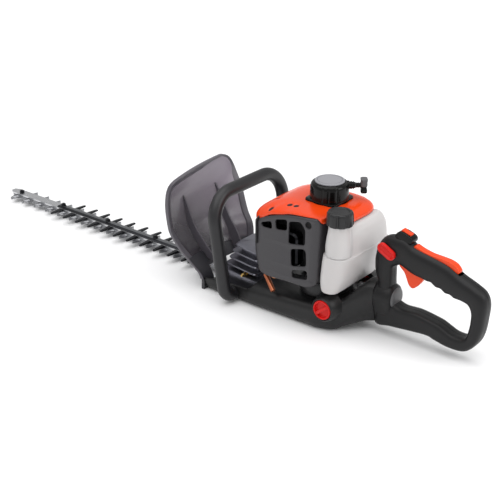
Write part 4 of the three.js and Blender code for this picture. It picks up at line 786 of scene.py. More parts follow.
DOME_CENTRE = np.array([19.5, 5.5])
DOME_HALF = np.array([84.5, 71.5])
DOME_POWER = (5.0, 1.5, 40.0)
DOME_TOP = 203.6
DOME_WALL = 2.4
DOME_FALL = (2.4, 0.62)
CAP_NOTCH = 24.5
PLATE_HALF = 30.0
PLATE_POWER = 8.0
DRUM_RADIUS = 32.0
MOUTH_GAP = 0.6
# Angle round the crankshaft, height of the dome's edge there, and of the foot of the skirt.
DOME_EDGE = np.array([
    (0, 173, 166), (25, 172.5, 166), (36, 172.5, 168), (41, 173.6, 170.8), (52, 187.6, 185),
    (65, 194.2, 191.6), (75, 198.6, 196), (100, 201.6, 199.6), (112, 202.4, 201), (121, 201.4, 192),
    (136, 200, 189.5), (150, 196, 188.8), (165, 191.5, 188.4), (180, 190.6, 188), (222, 189, 187),
    (245, 187.5, 176), (268, 184, 166), (273, 184, 181.4), (312, 182, 179.4), (318, 180, 164),
    (345, 174, 165), (360, 173, 166),
])
VENT_PITS = [(65, 69), (38, 55), (26, 54), (77, 36), (-37, -51)]
PIT_DEPTH = 2.6
PIT_RADIUS = 5.2
# Radii in plan, in millimetres, over which the painted shade inside each vent fades out.
VENT_SHADE_EDGE = (3.9, 4.9)


def glossy(name, colour):
    """Moulded plastic with a thin clear gloss over it."""
    material, shader = textured(name, colour, 0.24, grain=900.0, depth=0.05, mottle=0.03)
    shader.inputs["Specular IOR Level"].default_value = 0.3
    shader.inputs["Coat Weight"].default_value = 0.1
    shader.inputs["Coat Roughness"].default_value = 0.12
    return material, shader


ORANGE = (0.78, 0.056, 0.005)
orange_gloss, _ = glossy("orange_gloss", ORANGE)
dome_gloss, dome_shader = glossy("dome_gloss", ORANGE)
dome_tree = dome_gloss.node_tree
# Painted shade, near black, down inside the vents: the nearest vent's distance in plan drives it.
place = add(dome_tree, "ShaderNodeTexCoord").outputs["Object"]
plan_place = add(dome_tree, "ShaderNodeVectorMath", _0=place, _1=(1, 1, 0))
plan_place.operation = "MULTIPLY"
nearest = VENT_SHADE_EDGE[1] * MM
for pit in VENT_PITS:
    away = add(dome_tree, "ShaderNodeVectorMath", _0=plan_place.outputs[0], _1=(pit[0] * MM, pit[1] * MM, 0))
    away.operation = "DISTANCE"
    closer = add(dome_tree, "ShaderNodeMath", _0=nearest, _1=away.outputs["Value"])
    closer.operation = "MINIMUM"
    nearest = closer.outputs[0]
vent_painted_shade = add(dome_tree, "ShaderNodeMapRange", Value=nearest, From_Min=VENT_SHADE_EDGE[0] * MM,
             From_Max=VENT_SHADE_EDGE[1] * MM, To_Min=0.02, To_Max=1.0)
bare = dome_shader.inputs["Base Color"].links[0].from_socket
shaded_by(dome_tree, dome_shader, bare, vent_painted_shade.outputs[0])

cap_low, cap_high = box_of("tank_cap")
cap_centre = ((cap_low + cap_high) / 2)[:2]
turn = np.linspace(0, 2 * np.pi, 360, endpoint=False)
heading = np.column_stack([np.cos(turn), np.sin(turn)])
mean_power, more_power, squarest = DOME_POWER
power = (mean_power + more_power * np.cos(turn - np.radians(squarest)))[:, None]
near, far = np.zeros(len(turn)), np.full(len(turn), 2 * DOME_HALF.max())
for _ in range(30):
    # Halving: where the ray from the crankshaft leaves the dome's rounded plan.
    middle = (near + far) / 2
    spread = np.abs((heading * middle[:, None] - DOME_CENTRE) / DOME_HALF) ** power
    inside = spread.sum(axis=1) < 1
    near, far = np.where(inside, middle, near), np.where(inside, far, middle)
along_ray = heading @ cap_centre
off_ray = heading @ np.array([-cap_centre[1], cap_centre[0]])
room = CAP_NOTCH**2 - off_ray**2
to_cap = np.where((room > 0) & (along_ray > 0), along_ray - np.sqrt(np.maximum(room, 0)), np.inf)
dome_rim = np.minimum(near, to_cap)
smooth_rim = np.stack([np.roll(dome_rim, k) for k in range(-3, 4)]).mean(axis=0)
dome_rim = np.minimum(smooth_rim, dome_rim + 0.4)
plate_edge = PLATE_HALF * (np.abs(heading) ** PLATE_POWER).sum(axis=1) ** (-1 / PLATE_POWER)
starter_low, starter_high = box_of("starter_housing")
mouth = np.maximum(plate_edge, DRUM_RADIUS) + MOUTH_GAP
edge_z, foot_z = flowing(np.degrees(turn), DOME_EDGE[:, 0], DOME_EDGE[:, 1:]).T


def dome_height(plan, share):
    """Height of the dome over plan points: from the top at the mouth it falls as one minus a power
    of the share of the way to the rim, itself to a power, and each vent is a smooth round pit."""
    grow, curl = DOME_FALL
    height = edge_z + (DOME_TOP - edge_z) * (1 - share**grow) ** curl
    for x, y in VENT_PITS:
        away = np.hypot(plan[..., 0] - x, plan[..., 1] - y) / PIT_RADIUS
        height = height - PIT_DEPTH * np.exp(-(away**4))
    return height


share = (1 - (1 - np.linspace(0, 1, 64)) ** 1.7)[:, None]
outer_plan = heading * (mouth + (dome_rim - mouth) * share)[..., None]
inner_plan = heading * (mouth + (dome_rim - DOME_WALL - mouth) * share)[..., None]
outer_dome = np.dstack([outer_plan, dome_height(outer_plan, share)])
inner_dome = np.dstack([inner_plan, dome_height(inner_plan, share) - DOME_WALL])
foot = np.dstack([outer_plan[-1:], foot_z[None]])
foot_inner = np.dstack([inner_plan[-1:], foot_z[None]])
inner_dome[-1, :, 2] = np.maximum(inner_dome[-1, :, 2], foot_z + 0.2)
dome_rows = np.concatenate([outer_dome, foot, foot_inner, inner_dome[::-1]])
make_piece("dome", stack(dome_rows, around=True), dome_gloss, "chassis", ["engine_cover"],
           sharp=50.0)

# ---------------------------------------------------------------- recoil starter
# A round glossy black housing stands on a square plate, with a grey lid snapped into its top. The
# rope leaves through a ribbed neck and ends in a small T-grip, half grey and half black.

FLUTES = (104.0, 122.0, 148.0)
FLUTE_DEPTH = 0.8
FLUTE_WIDTH = 3.0
FLUTE_SPAN = (207.0, 232.4, 3.0)
PULL_ANGLE = 219.0
ROPE_Z = 227.0
ROPE_RADIUS = 1.7
NECK_END = 41.0
GRIP_AT = 55.0

gloss_black, gloss_shader = textured(
    "gloss_black", (0.003, 0.0032, 0.003), 0.18, grain=900.0, depth=0.06, mottle=0.1)
gloss_shader.inputs["Specular IOR Level"].default_value = 0.22
lid_grey, _ = textured("lid_grey", (0.27, 0.27, 0.29), 0.45, grain=1400.0, depth=0.2, mottle=0.05)
grip_grey, _ = textured("grip_grey", (0.085, 0.085, 0.09), 0.4, grain=1300.0, depth=0.2, mottle=0.08)
rope_weave, _ = textured("rope_weave", (0.30, 0.30, 0.29), 0.8, grain=2400.0, depth=0.6, mottle=0.3)

starter_top = starter_high[2]
# Each row of the plate: height, and how much its edge stands out.
plate_profile = np.array([
    (starter_low[2], 0), (starter_low[2] + 0.5, 0), (206, 0), (206.8, -0.3), (207.2, -1.0),
])
drum_profile = np.array([
    (207.3, DRUM_RADIUS), (209, DRUM_RADIUS), (212, 31.8), (226, 31.4), (229, 30.9), (231, 30.1),
    (232.6, 28.8), (233.6, 27.2), (starter_top, 25.4), (starter_top - 0.3, 24.9),
    (starter_top - 1.6, 24.8), (starter_top - 1.6, 0.01),
])
dip = sum(np.exp(-(((np.degrees(turn) - at) / FLUTE_WIDTH) ** 4)) for at in FLUTES)
flute_low, flute_high, flute_fade = FLUTE_SPAN
fluted = np.clip((drum_profile[:, :1] - flute_low) / flute_fade, 0, 1)
fluted = fluted * np.clip((flute_high - drum_profile[:, :1]) / flute_fade, 0, 1)
drum_rows = drum_profile[:, 1:] - FLUTE_DEPTH * dip * fluted
radii = np.concatenate([plate_edge + plate_profile[:, 1:], drum_rows])
zs = np.concatenate([plate_profile[:, 0], drum_profile[:, 0]])
ledge = np.dstack([radii[..., None] * heading, np.broadcast_to(zs[:, None], radii.shape)])
pull_way = np.array([np.cos(np.radians(PULL_ANGLE)), np.sin(np.radians(PULL_ANGLE)), 0.0])
neck_profile = [
    (28, 0.01), (28, 7.6), (31.5, 7.2), (32, 6.0), (33.4, 6.0), (33.9, 6.8), (35.3, 6.6), (35.8, 5.6),
    (37, 5.6), (37.5, 6.3), (38.9, 6.1), (39.3, 5.2), (NECK_END, 5.0), (NECK_END, 2.3), (30, 2.3),
    (30, 0.01),
]
neck_tube = turned(neck_profile, (0, 0, ROPE_Z), pull_way, 32)
make_piece("starter_drum", joined(stack(ledge), neck_tube), gloss_black, "chassis", ["starter_housing"])
lid_low, lid_high = box_of("starter_lid")
lid_profile = [
    (lid_low[2], 0.01), (lid_low[2], 24.2), (lid_low[2] + 1.4, 24.5), (lid_high[2] - 0.9, 24.3),
    (lid_high[2] - 0.2, 23.5), (lid_high[2], 22.4), (lid_high[2] - 0.2, 21.0), (lid_high[2] - 1.0, 20.6),
    (lid_high[2] - 1.0, 19.9), (lid_high[2] - 0.2, 19.4), (lid_high[2], 12), (lid_high[2], 0.01),
]
starter_cap = turned(lid_profile, (0, 0, 0), (0, 0, 1), 96)
make_piece("starter_cap", starter_cap, lid_grey, "chassis", ["starter_lid"])

rope_run = np.linspace(31, GRIP_AT - 6, 30)
rope_side = np.column_stack([rope_run, np.full(len(rope_run), ROPE_RADIUS)])
rope_profile = np.concatenate([[(rope_run[0], 0.01)], rope_side, [(rope_run[-1], 0.01)]])
rope = closed_mesh("starter_rope", turned(rope_profile, (0, 0, ROPE_Z), pull_way, 12), rope_weave)
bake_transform(rope)

across_pull = np.array([-pull_way[1], pull_way[0], 0.0])


def grip_rows(levels):
    """Level rings of the T-grip: a rounded rectangle of half depth and half width at each height."""
    rows = []
    for z, depth, width in levels:
        ring = rounded(rectangle(depth, width), 3.0, 5)
        rows.append(pull_way * (GRIP_AT + ring[:, :1]) + across_pull * ring[:, 1:] + np.array([0, 0, z]))
    return stack(np.array(rows))


grip_low, grip_high = box_of("pull_handle")
upper_grip = grip_rows([
    (225.4, 4.6, 5.6), (226.0, 5.2, 6.4), (229, 5.6, 7.0), (233, 5.3, 6.8), (236, 5.8, 7.4),
    (grip_high[2] - 1, 5.7, 7.4), (grip_high[2] - 0.2, 5.0, 6.6), (grip_high[2], 3.9, 5.4),
])
make_piece("grip_upper", upper_grip, grip_grey, "pull_set", ["pull_handle"])
lower_grip = grip_rows([
    (grip_low[2], 3.4, 4.4), (grip_low[2] + 0.5, 4.6, 5.8), (grip_low[2] + 2, 5.3, 6.8), (219, 5.4, 6.9),
    (222, 4.8, 6.0), (224, 4.4, 5.4), (226.2, 4.2, 5.2),
])
stem_profile = [
    (NECK_END + 0.4, 2.2), (NECK_END + 0.4, 4.2), (43, 4.4), (43.4, 3.8), (44.6, 3.8), (45, 4.4),
    (46.4, 4.4), (46.8, 3.8), (48, 3.8), (48.4, 4.4), (51, 4.6), (51, 2.2),
]
stem = turned(stem_profile, (0, 0, ROPE_Z), pull_way, 28, closed=True)
make_piece("grip_lower", joined(lower_grip, stem), gloss_black, "pull_set")

# ---------------------------------------------------------------- fuel tank
# A milky blow-moulded bottle behind the engine. The mould's parting line runs round it, its left
# end rises in a round shoulder to the filler neck, and the walls let a little light through.

TANK_PARTING = 143.0
GROOVE_HALF, GROOVE_DEPTH = 0.4, 0.55
CORNER_FULLNESS = 1.7
# Each row: height, front x, rear x, right y, left y, corner.
TANK_ROWS = [
    (76, -38.5, -64, -46, 72, 9), (78, -36.4, -66, -52, 76, 11), (90, -34.6, -71.5, -56.5, 79.4, 13),
    (104, -34.2, -77, -60, 81, 15), (125, -34.8, -82.5, -62.5, 81.5, 18), (142.4, -36.4, -86, -64, 81.5, 20),
    (144.4, -38.6, -84.8, -63, 79.4, 21), (158, -39.6, -84, -62.4, 78.8, 23),
    (168, -41, -82.4, -61.2, 78, 25), (176, -43.2, -79.4, -58.6, 76.6, 26),
    (182, -46.4, -74.4, -54, 73.4, 24), (185, -49, -70, -49, 69, 19), (186, -52, -65, -44, 64, 13),
]
NECK_PROFILE = [
    (141, 0.01), (141, 18), (146, 21.4), (154, 21.6), (162, 21.2), (170, 20.4), (178, 19.2), (185, 18.0),
    (190, 17.5), (197.6, 17.4), (198, 17), (198, 14.5), (188, 14.5), (188, 0.01),
]

milky, milky_shader = textured(
    "milky_polyethylene", (0.565, 0.545, 0.54), 0.36, grain=500.0, depth=0.06, mottle=0.04, blotch=14.0)
milky_shader.inputs["Subsurface Weight"].default_value = 0.35
milky_shader.inputs["Subsurface Radius"].default_value = (1.0, 0.9, 0.85)
milky_shader.inputs["Subsurface Scale"].default_value = 0.012

tank_keys = np.array(TANK_ROWS)
tank_zs = np.concatenate([
    np.linspace(76, 79, 5), np.linspace(82, 141.9, 24), [142.4, 142.9, 143.3, 143.8, 144.4],
    np.linspace(146, 180, 18), np.linspace(181.5, 186, 9),
])
tank_front, tank_rear, tank_right, tank_left, corner = flowing(tank_zs, tank_keys[:, 0], tank_keys[:, 1:]).T
groove = np.where(np.abs(tank_zs - TANK_PARTING) < GROOVE_HALF, GROOVE_DEPTH, 0.0)
tank_front, tank_left = tank_front - groove, tank_left - groove
tank_rear, tank_right = tank_rear + groove, tank_right + groove
pairs = [(tank_rear, tank_right), (tank_front, tank_right), (tank_front, tank_left), (tank_rear, tank_left)]
corners = np.stack([np.stack(pair, axis=1) for pair in pairs], axis=1)
tank_outline = rounded(corners, np.repeat(corner[:, None], 4, axis=1) * CORNER_FULLNESS, 9)
tank_rows = np.dstack([tank_outline, np.broadcast_to(tank_zs[:, None], tank_outline.shape[:2])])
tank_neck = turned(NECK_PROFILE, (*cap_centre, 0), (0, 0, 1), 64)
tank_bottle = joined(stack(tank_rows), tank_neck)
make_piece("tank_bottle", tank_bottle, milky, "chassis", ["fuel_tank"])

# ---------------------------------------------------------------- filler cap
# A black screw cap. Eight deep flats round its side give the fingers a grip, and its top is
# dished inside a raised rim.

CAP_FLATS = 8
FLAT_DEPTH = 2.3
CAP_BORE, CAP_BORE_TOP = 17.9, 6.0

cap_black, cap_shader = textured(
    "cap_black", (0.012, 0.012, 0.013), 0.34, grain=1200.0, depth=0.25, mottle=0.08)
cap_shader.inputs["Specular IOR Level"].default_value = 0.4

cap_radius = (cap_high[0] - cap_low[0]) / 2
cap_top, cap_bottom = cap_high[2], cap_low[2]
# Each row: height, radius, and the flats' share of their depth there.
cap_profile = np.array([
    (cap_top - CAP_BORE_TOP, CAP_BORE, 0), (cap_bottom, CAP_BORE, 0), (cap_bottom, cap_radius - 0.6, 0.6),
    (cap_bottom + 0.8, cap_radius, 1), (cap_bottom + 4, cap_radius, 1), (cap_top - 5, cap_radius - 0.7, 1),
    (cap_top - 2.4, cap_radius - 1.2, 0.85), (cap_top - 0.8, cap_radius - 2.2, 0.5),
    (cap_top, cap_radius - 3.8, 0.2), (cap_top, cap_radius - 6.5, 0), (cap_top - 1.4, cap_radius - 8, 0),
    (cap_top - 1.9, cap_radius - 12, 0), (cap_top - 1.9, 0.01, 0),
])
cap_turn = np.linspace(0, 2 * np.pi, 192, endpoint=False)
flat_dip = 1 - np.clip(np.abs(np.cos(CAP_FLATS / 2 * cap_turn)) * 3.2 - 0.9, 0, 1)
cap_radii = cap_profile[:, 1:2] - FLAT_DEPTH * cap_profile[:, 2:] * flat_dip
cap_rows = np.dstack([
    cap_centre[0] + cap_radii * np.cos(cap_turn), cap_centre[1] + cap_radii * np.sin(cap_turn),
    np.broadcast_to(cap_profile[:, :1], cap_radii.shape),
])
make_piece("cap_shell", stack(cap_rows), cap_black, "cap_set", ["tank_cap"])

# ---------------------------------------------------------------- front handle
# A bent steel tube under a thick matt rubber sleeve. It leans forward a little, and each foot
# turns in under the gear case and is bolted into the base.

BAIL_RADIUS = 11.5
BAIL_TOP = 189.0
BAIL_CORNER = 47.0
BAIL_FOOT = (145.0, 15.0, 16.0)
BAIL_LEAN = 0.16
# Where the tube's run under the base starts, and where its straight side does.
BAIL_INNER, BAIL_SIDE = 66.5, 34.0

sleeve_rubber, _ = textured(
    "sleeve_rubber", (0.009, 0.0088, 0.0105), 0.4, grain=1600.0, depth=0.3, mottle=0.1)


def bend(centre, radius, start, end, steps):
    """Points of an arc from one angle to another, in degrees, as [y, z]."""
    angle = np.radians(np.linspace(start, end, steps))
    return np.column_stack([centre[0] + radius * np.cos(angle), centre[1] + radius * np.sin(angle)])


def swept(path, normal, section):
    """Rings of a section along a path that lies in one plane: the section's first measure runs
    along the plane's normal and its second across the path, within the plane."""
    heading = np.gradient(path, axis=0)
    heading /= np.linalg.norm(heading, axis=1, keepdims=True)
    across = np.cross(normal, heading)
    return path[:, None] + section[:, :1] * normal + section[:, 1:] * across[:, None]


bail_high = box_of("front_handle")[1]
bail_half = bail_high[1] - BAIL_RADIUS
foot_x, foot_z_at, foot_corner = BAIL_FOOT
half_path = np.concatenate([
    np.column_stack([np.linspace(BAIL_INNER, bail_half - foot_corner - 1, 4), np.full(4, foot_z_at)]),
    bend((bail_half - foot_corner, foot_z_at + foot_corner), foot_corner, -90, 0, 14),
    np.column_stack([np.full(20, bail_half), np.linspace(BAIL_SIDE, BAIL_TOP - BAIL_CORNER - 3, 20)]),
    bend((bail_half - BAIL_CORNER, BAIL_TOP - BAIL_CORNER), BAIL_CORNER, 0, 90, 26),
    np.column_stack([np.linspace(bail_half - BAIL_CORNER - 3, 0, 8), np.full(8, BAIL_TOP)]),
])
flat_path = np.concatenate([half_path, (half_path * np.array([-1, 1]))[-2::-1]])
bail_path = np.column_stack([foot_x + BAIL_LEAN * (flat_path[:, 1] - foot_z_at), flat_path])
lean_normal = np.array([1.0, 0.0, -BAIL_LEAN]) / np.hypot(1.0, BAIL_LEAN)
ring_turn = np.linspace(0, 2 * np.pi, 32, endpoint=False)
ring = BAIL_RADIUS * np.column_stack([np.cos(ring_turn), np.sin(ring_turn)])
make_piece("grip_bail", stack(swept(bail_path, lean_normal, ring)), sleeve_rubber, "chassis",
           ["front_handle"])

# ---------------------------------------------------------------- hand guard
# A smoked, half clear sheet that leans forward and bows in the middle. Its edge is a thick rolled
# rim, two ribs stiffen its back, and its opaque foot is screwed to the front of the base.

# By height: half the width, and how far forward the left and the right edges stand.
GUARD_HALF = np.array([
    (0, 72), (24, 71), (48, 75), (66, 80), (100, 86), (147, 91), (168, 90.5), (178, 88.5), (186, 84),
    (192, 77), (196, 66),
])
GUARD_LEFT = np.array([
    (0, 212), (12, 212), (24, 215), (48, 238), (77, 261), (104, 273), (147, 274), (181, 270), (196, 264),
])
GUARD_RIGHT = np.array([
    (0, 212), (12, 212), (24, 214), (48, 219), (72, 226), (92, 240), (134, 259), (181, 281), (196, 284),
])
GUARD_TOP = 196.0
GUARD_BOW = 14.0
BOW_FULL, BOW_FALLS, BOW_LOST = 60.0, 140.0, 0.72
GUARD_WALL = 3.2
GUARD_RIM = 10.0
SHEET_FOOT = 50.0
FOOT_TOP = 52.0
FOOT_EXTRA = 1.4
MOUTH_HALF, MOUTH_TOP = 41.8, 31.8
RIB_SHARE, RIB_DEPTH, RIB_SPAN = 0.45, 26.0, (40.0, 150.0)

smoked, smoked_shader = textured(
    "smoked_sheet", (0.235, 0.205, 0.245), 0.22, grain=700.0, depth=0.06, mottle=0.08, blotch=9.0)
smoked_shader.inputs["Alpha"].default_value = 0.86
# The sheet's colour is darkened towards its lower left, in its bowl, by object position.
smoked_tree = smoked.node_tree
place = add(smoked_tree, "ShaderNodeTexCoord").outputs["Object"]
out_of_bowl = add(smoked_tree, "ShaderNodeVectorMath", _0=place, _1=(0, -0.55, 1))
out_of_bowl.operation = "DOT_PRODUCT"
bowl = add(smoked_tree, "ShaderNodeMapRange", Value=out_of_bowl.outputs["Value"], From_Min=0.035,
           From_Max=0.19, To_Min=0.2, To_Max=1.15)
bowl.interpolation_type = "SMOOTHSTEP"
bare = smoked_shader.inputs["Base Color"].links[0].from_socket
shaded_by(smoked_tree, smoked_shader, bare, bowl.outputs[0])
smoked_rim, _ = textured("smoked_rim", (0.085, 0.078, 0.092), 0.32, grain=900.0, depth=0.1, mottle=0.08)


def guard_point(share, z):
    """A point of the guard's rear face: share runs from -1 at the right edge to 1 at the left one.
    The face passes from one edge's profile to the other's, and stands forward of them by the bow
    times one minus the share squared. The bow grows with height from the foot, and falls off again
    near the top along a smooth step."""
    half = flowing(z, *GUARD_HALF.T)
    x = ((1 + share) * flowing(z, *GUARD_LEFT.T) + (1 - share) * flowing(z, *GUARD_RIGHT.T)) / 2
    t = np.clip((z - BOW_FALLS) / (GUARD_TOP - BOW_FALLS), 0, 1)
    bow = GUARD_BOW * (1 - share**2) * np.minimum(1, z / BOW_FULL) * (1 - BOW_LOST * t**2 * (3 - 2 * t))
    return np.stack([x + bow, share * half, z], axis=-1)


def guard_grid(shares, zs):
    """The guard's rear face at every pair of a share and a height."""
    share_grid, z_grid = np.meshgrid(shares, zs)
    return guard_point(share_grid.ravel(), z_grid.ravel()).reshape(*share_grid.shape, 3)


def two_faced(front, rear, keep):
    """A thick sheet from two equal grids: the quads with all four corners kept on each, joined by
    a wall round every edge that only one of them has."""
    quads = keep[:-1, :-1] & keep[1:, :-1] & keep[:-1, 1:] & keep[1:, 1:]
    rows, columns = quads.shape
    size = (rows + 1) * (columns + 1)
    i, j = np.nonzero(quads)
    a = i * (columns + 1) + j
    faces = np.stack([a, a + 1, a + columns + 2, a + columns + 1], axis=1)
    pairs = np.concatenate([np.stack([faces[:, k], faces[:, (k + 1) % 4]], axis=1) for k in range(4)])
    code = pairs.min(axis=1) * size + pairs.max(axis=1)
    _, first, count = np.unique(code, return_index=True, return_counts=True)
    edge = pairs[first[count == 1]]
    wall = np.stack([edge[:, 0], edge[:, 1], edge[:, 1] + size, edge[:, 0] + size], axis=1)
    points = np.concatenate([front.reshape(-1, 3), rear.reshape(-1, 3)])
    return points, faces.tolist() + (faces[:, ::-1] + size).tolist() + wall.tolist()


forward = np.array([1.0, 0.0, 0.0])
sheet_rear = guard_grid(np.linspace(-1, 1, 61), np.linspace(SHEET_FOOT, GUARD_TOP, 74))
guard_sheet = two_faced(sheet_rear + GUARD_WALL * forward, sheet_rear, np.full(sheet_rear.shape[:2], True))
make_piece("guard_sheet", guard_sheet, smoked, "chassis", ["hand_guard"])
side_zs = np.concatenate([np.linspace(20, 176, 46), np.linspace(179, 195.6, 12)])
left_edge = guard_point(np.ones(len(side_zs)), side_zs)
top_shares = np.linspace(0.96, -0.96, 40)
top_edge = guard_point(top_shares, np.full(40, GUARD_TOP))
right_edge = guard_point(-np.ones(len(side_zs)), side_zs)[::-1]
rim_path = np.concatenate([left_edge, top_edge, right_edge]) + np.array([1.0, 0, -1.0])
rim_heading = np.gradient(rim_path, axis=0)
rim_side = np.cross(rim_heading, forward)
rim_side /= np.linalg.norm(rim_side, axis=1, keepdims=True)
rim_section = rounded([(1.0, -GUARD_RIM), (6.4, -GUARD_RIM), (4.6, 1.2), (-3.2, 1.2)], 1.6, 5)
rim_rows = rim_path[:, None] + rim_section[:, :1] * forward + rim_section[:, 1:] * rim_side[:, None]
make_piece("guard_rim", stack(rim_rows), smoked_rim, "chassis")


def guard_rib(share):
    """A rib on the guard's rear face at a share across it: it stands deepest off the face at its
    foot and runs out to almost nothing at its top, as a power of the height still to go."""
    zs = np.linspace(*RIB_SPAN, 24)
    root = guard_point(np.full(24, share), zs)
    to_go = (RIB_SPAN[1] - zs) / (RIB_SPAN[1] - RIB_SPAN[0])
    crest = root - (RIB_DEPTH * to_go**0.7 + 0.6)[:, None] * forward
    root = root + 0.5 * forward
    right, left = np.array([0, -1.5, 0]), np.array([0, 1.5, 0])
    return stack(np.stack([root + right, crest + right, crest + left, root + left], axis=1))


guard_ribs = joined(guard_rib(-RIB_SHARE), guard_rib(RIB_SHARE))
make_piece("guard_ribs", guard_ribs, smoked_rim, "chassis")

foot_grey, _ = textured("foot_grey", (0.03, 0.029, 0.035), 0.4, grain=1200.0, depth=0.25, mottle=0.08)
foot_rear = guard_grid(np.linspace(-0.99, 0.99, 61), [0.0, *np.linspace(4, FOOT_TOP, 16)])
in_mouth = (np.abs(foot_rear[..., 1]) < MOUTH_HALF) & (foot_rear[..., 2] < MOUTH_TOP)
foot_front = foot_rear + (GUARD_WALL + FOOT_EXTRA) * forward
guard_foot = two_faced(foot_front, foot_rear - FOOT_EXTRA * forward, ~in_mouth)
make_piece("guard_foot", guard_foot, foot_grey, "chassis")

# ---------------------------------------------------------------- rear handle
# Two black nylon half shells screwed together, a round hub at the swivel, a closed loop for the
# hand, and slots for the throttle. The seam between them shows as a fine line all the way round.

SEAM_LIMIT = -105.15
# Each row: outer x, z, inner x, z, half width.
LOOP_STATIONS = np.array([
    (SEAM_LIMIT, 92, -131, 84, 15.5), (-98.5, 112, -130.5, 104, 15.5), (-98.5, 140, -131, 121, 16),
    (-108, 165, -139, 127.5, 16), (-124, 174.5, -146, 129.5, 16), (-150, 176, -157, 125, 16),
    (-167, 167, -170, 120.5, 16), (-196, 161, -193, 116.5, 16), (-226, 154.5, -214, 110, 16),
    (-250, 142.5, -238, 103.5, 16), (-272, 134, -254, 102.5, 15.5), (-290, 124, -266, 99, 15.5),
    (-297.5, 107, -272, 88, 15.5), (-296.5, 80, -272.5, 72, 15.5), (-293, 55, -270.5, 56, 15.5),
    (-285, 36, -267.5, 45, 15.5), (-268, 20, -258, 42, 15.5), (-240, 17.5, -244, 43, 15.5),
    (-215, 22, -226, 50, 15.5), (-200, 25.5, -214, 53.3, 15.5), (-165, 22.3, -180, 58, 15.5),
    (-135, 19, -150, 57, 15.5), (SEAM_LIMIT, 17, -133, 66, 15.5), (SEAM_LIMIT, 55, -132.5, 79, 15.5),
])
# How square the section is, by station: round over the top bar, squarer along the lower one.
LOOP_POWERS = [(0, 2.7), (13, 2.7), (17, 3.4), (20, 4.6), (22, 4.6), (24, 2.7)]
SEAM_HALF, SEAM_DEPTH = 0.35, 0.5
# Where each slot runs along X, half its width, and how deep it is sunk.
TRIGGER_SLOT = {"from": -199.0, "to": -138.0, "half": 6.8, "depth": 24.0}
LOCKOUT_SLOT = {"from": -249.0, "to": -164.0, "half": 6.8, "depth": 12.0}
SCALLOPS = {"from": -243.0, "to": -190.0, "pitch": 17.0, "depth": 2.2}

handle_black, handle_shader = textured(
    "handle_black", (0.0055, 0.0054, 0.006), 0.42, grain=1500.0, depth=0.35, mottle=0.1)
handle_shader.inputs["Specular IOR Level"].default_value = 0.32
# The hub's end disc is a lighter grey than the handle's black: a painted sheen for the light it catches from
# behind.
hub_painted_sheen, _ = textured("hub_painted_sheen", (0.085, 0.085, 0.088), 0.42, grain=1200.0, depth=0.25, mottle=0.08)

count = len(LOOP_STATIONS)
loop_at = np.linspace(0, count, 420, endpoint=False)
# A curve through the stations: at each one it heads from the station before to the one after.
i = np.floor(loop_at).astype(int)
t = (loop_at - i)[:, None]
p0, p1, p2, p3 = (LOOP_STATIONS[(i + k) % count] for k in (-1, 0, 1, 2))
squared, cubed = 2 * p0 - 5 * p1 + 4 * p2 - p3, 3 * p1 - p0 - 3 * p2 + p3
loop = 0.5 * (2 * p1 + (p2 - p0) * t + squared * t**2 + cubed * t**3)
below_swivel = loop[:, 1] < 100
loop[:, 0] = np.where(below_swivel, np.minimum(loop[:, 0], SEAM_LIMIT), loop[:, 0])
outer_line, inner_line, loop_half = loop[:, :2], loop[:, 2:4], loop[:, 4]
upper_bar = (loop_at > 3) & (loop_at < 12)
in_scallop = upper_bar & (inner_line[:, 0] > SCALLOPS["from"]) & (inner_line[:, 0] < SCALLOPS["to"])
wave = 0.5 - 0.5 * np.cos(2 * np.pi * (inner_line[:, 0] - SCALLOPS["from"]) / SCALLOPS["pitch"])
inner_line[:, 1] += np.where(in_scallop, SCALLOPS["depth"] * wave, 0.0)


def slot_share(x, slot, allowed):
    """One where x is within a slot and on the allowed side of the loop, and zero elsewhere."""
    return (allowed & (x > slot["from"]) & (x < slot["to"])).astype(float)


in_trigger = slot_share(inner_line[:, 0], TRIGGER_SLOT, upper_bar)
in_lockout = slot_share(outer_line[:, 0], LOCKOUT_SLOT, upper_bar)
inner_gap = SEAM_HALF + (TRIGGER_SLOT["half"] - SEAM_HALF) * in_trigger
outer_gap = SEAM_HALF + (LOCKOUT_SLOT["half"] - SEAM_HALF) * in_lockout
inner_sink = SEAM_DEPTH + (TRIGGER_SLOT["depth"] - SEAM_DEPTH) * in_trigger
outer_sink = SEAM_DEPTH + (LOCKOUT_SLOT["depth"] - SEAM_DEPTH) * in_lockout
loop_power = np.interp(loop_at, *np.array(LOOP_POWERS).T)
thickness = np.linalg.norm(outer_line - inner_line, axis=1)
middle_line, reach_line = (outer_line + inner_line) / 2, (outer_line - inner_line) / 2


def half_shell(way):
    """One half shell as a closed ring of sections. Each section is half of a rounded rectangle,
    |u|^p + |v|^p = 1, with a step down to the seam at both of its ends."""
    def lip(gap):
        return (1 - (gap / loop_half) ** loop_power) ** (1 / loop_power)

    first, last = (np.arcsin((gap / loop_half) ** (loop_power / 2)) for gap in (outer_gap, inner_gap))
    angle = first[:, None] + (np.pi - last - first)[:, None] * np.linspace(0, 1, 23)
    bend_power = (2 / loop_power)[:, None]
    v = np.sign(np.cos(angle)) * np.abs(np.cos(angle)) ** bend_power
    y = np.abs(np.sin(angle)) ** bend_power * loop_half[:, None]
    top_floor = lip(outer_gap) - 2 * outer_sink / thickness
    low_floor = -lip(inner_gap) + 2 * inner_sink / thickness
    seam = np.full(len(loop_half), 0.15)
    v = np.column_stack([top_floor, top_floor, v, low_floor, low_floor])
    y = np.column_stack([seam, outer_gap, y, inner_gap, seam])
    flat = middle_line[:, None] + reach_line[:, None] * v[..., None]
    return stack(np.dstack([flat[..., 0], way * y, flat[..., 1]]), around=True)


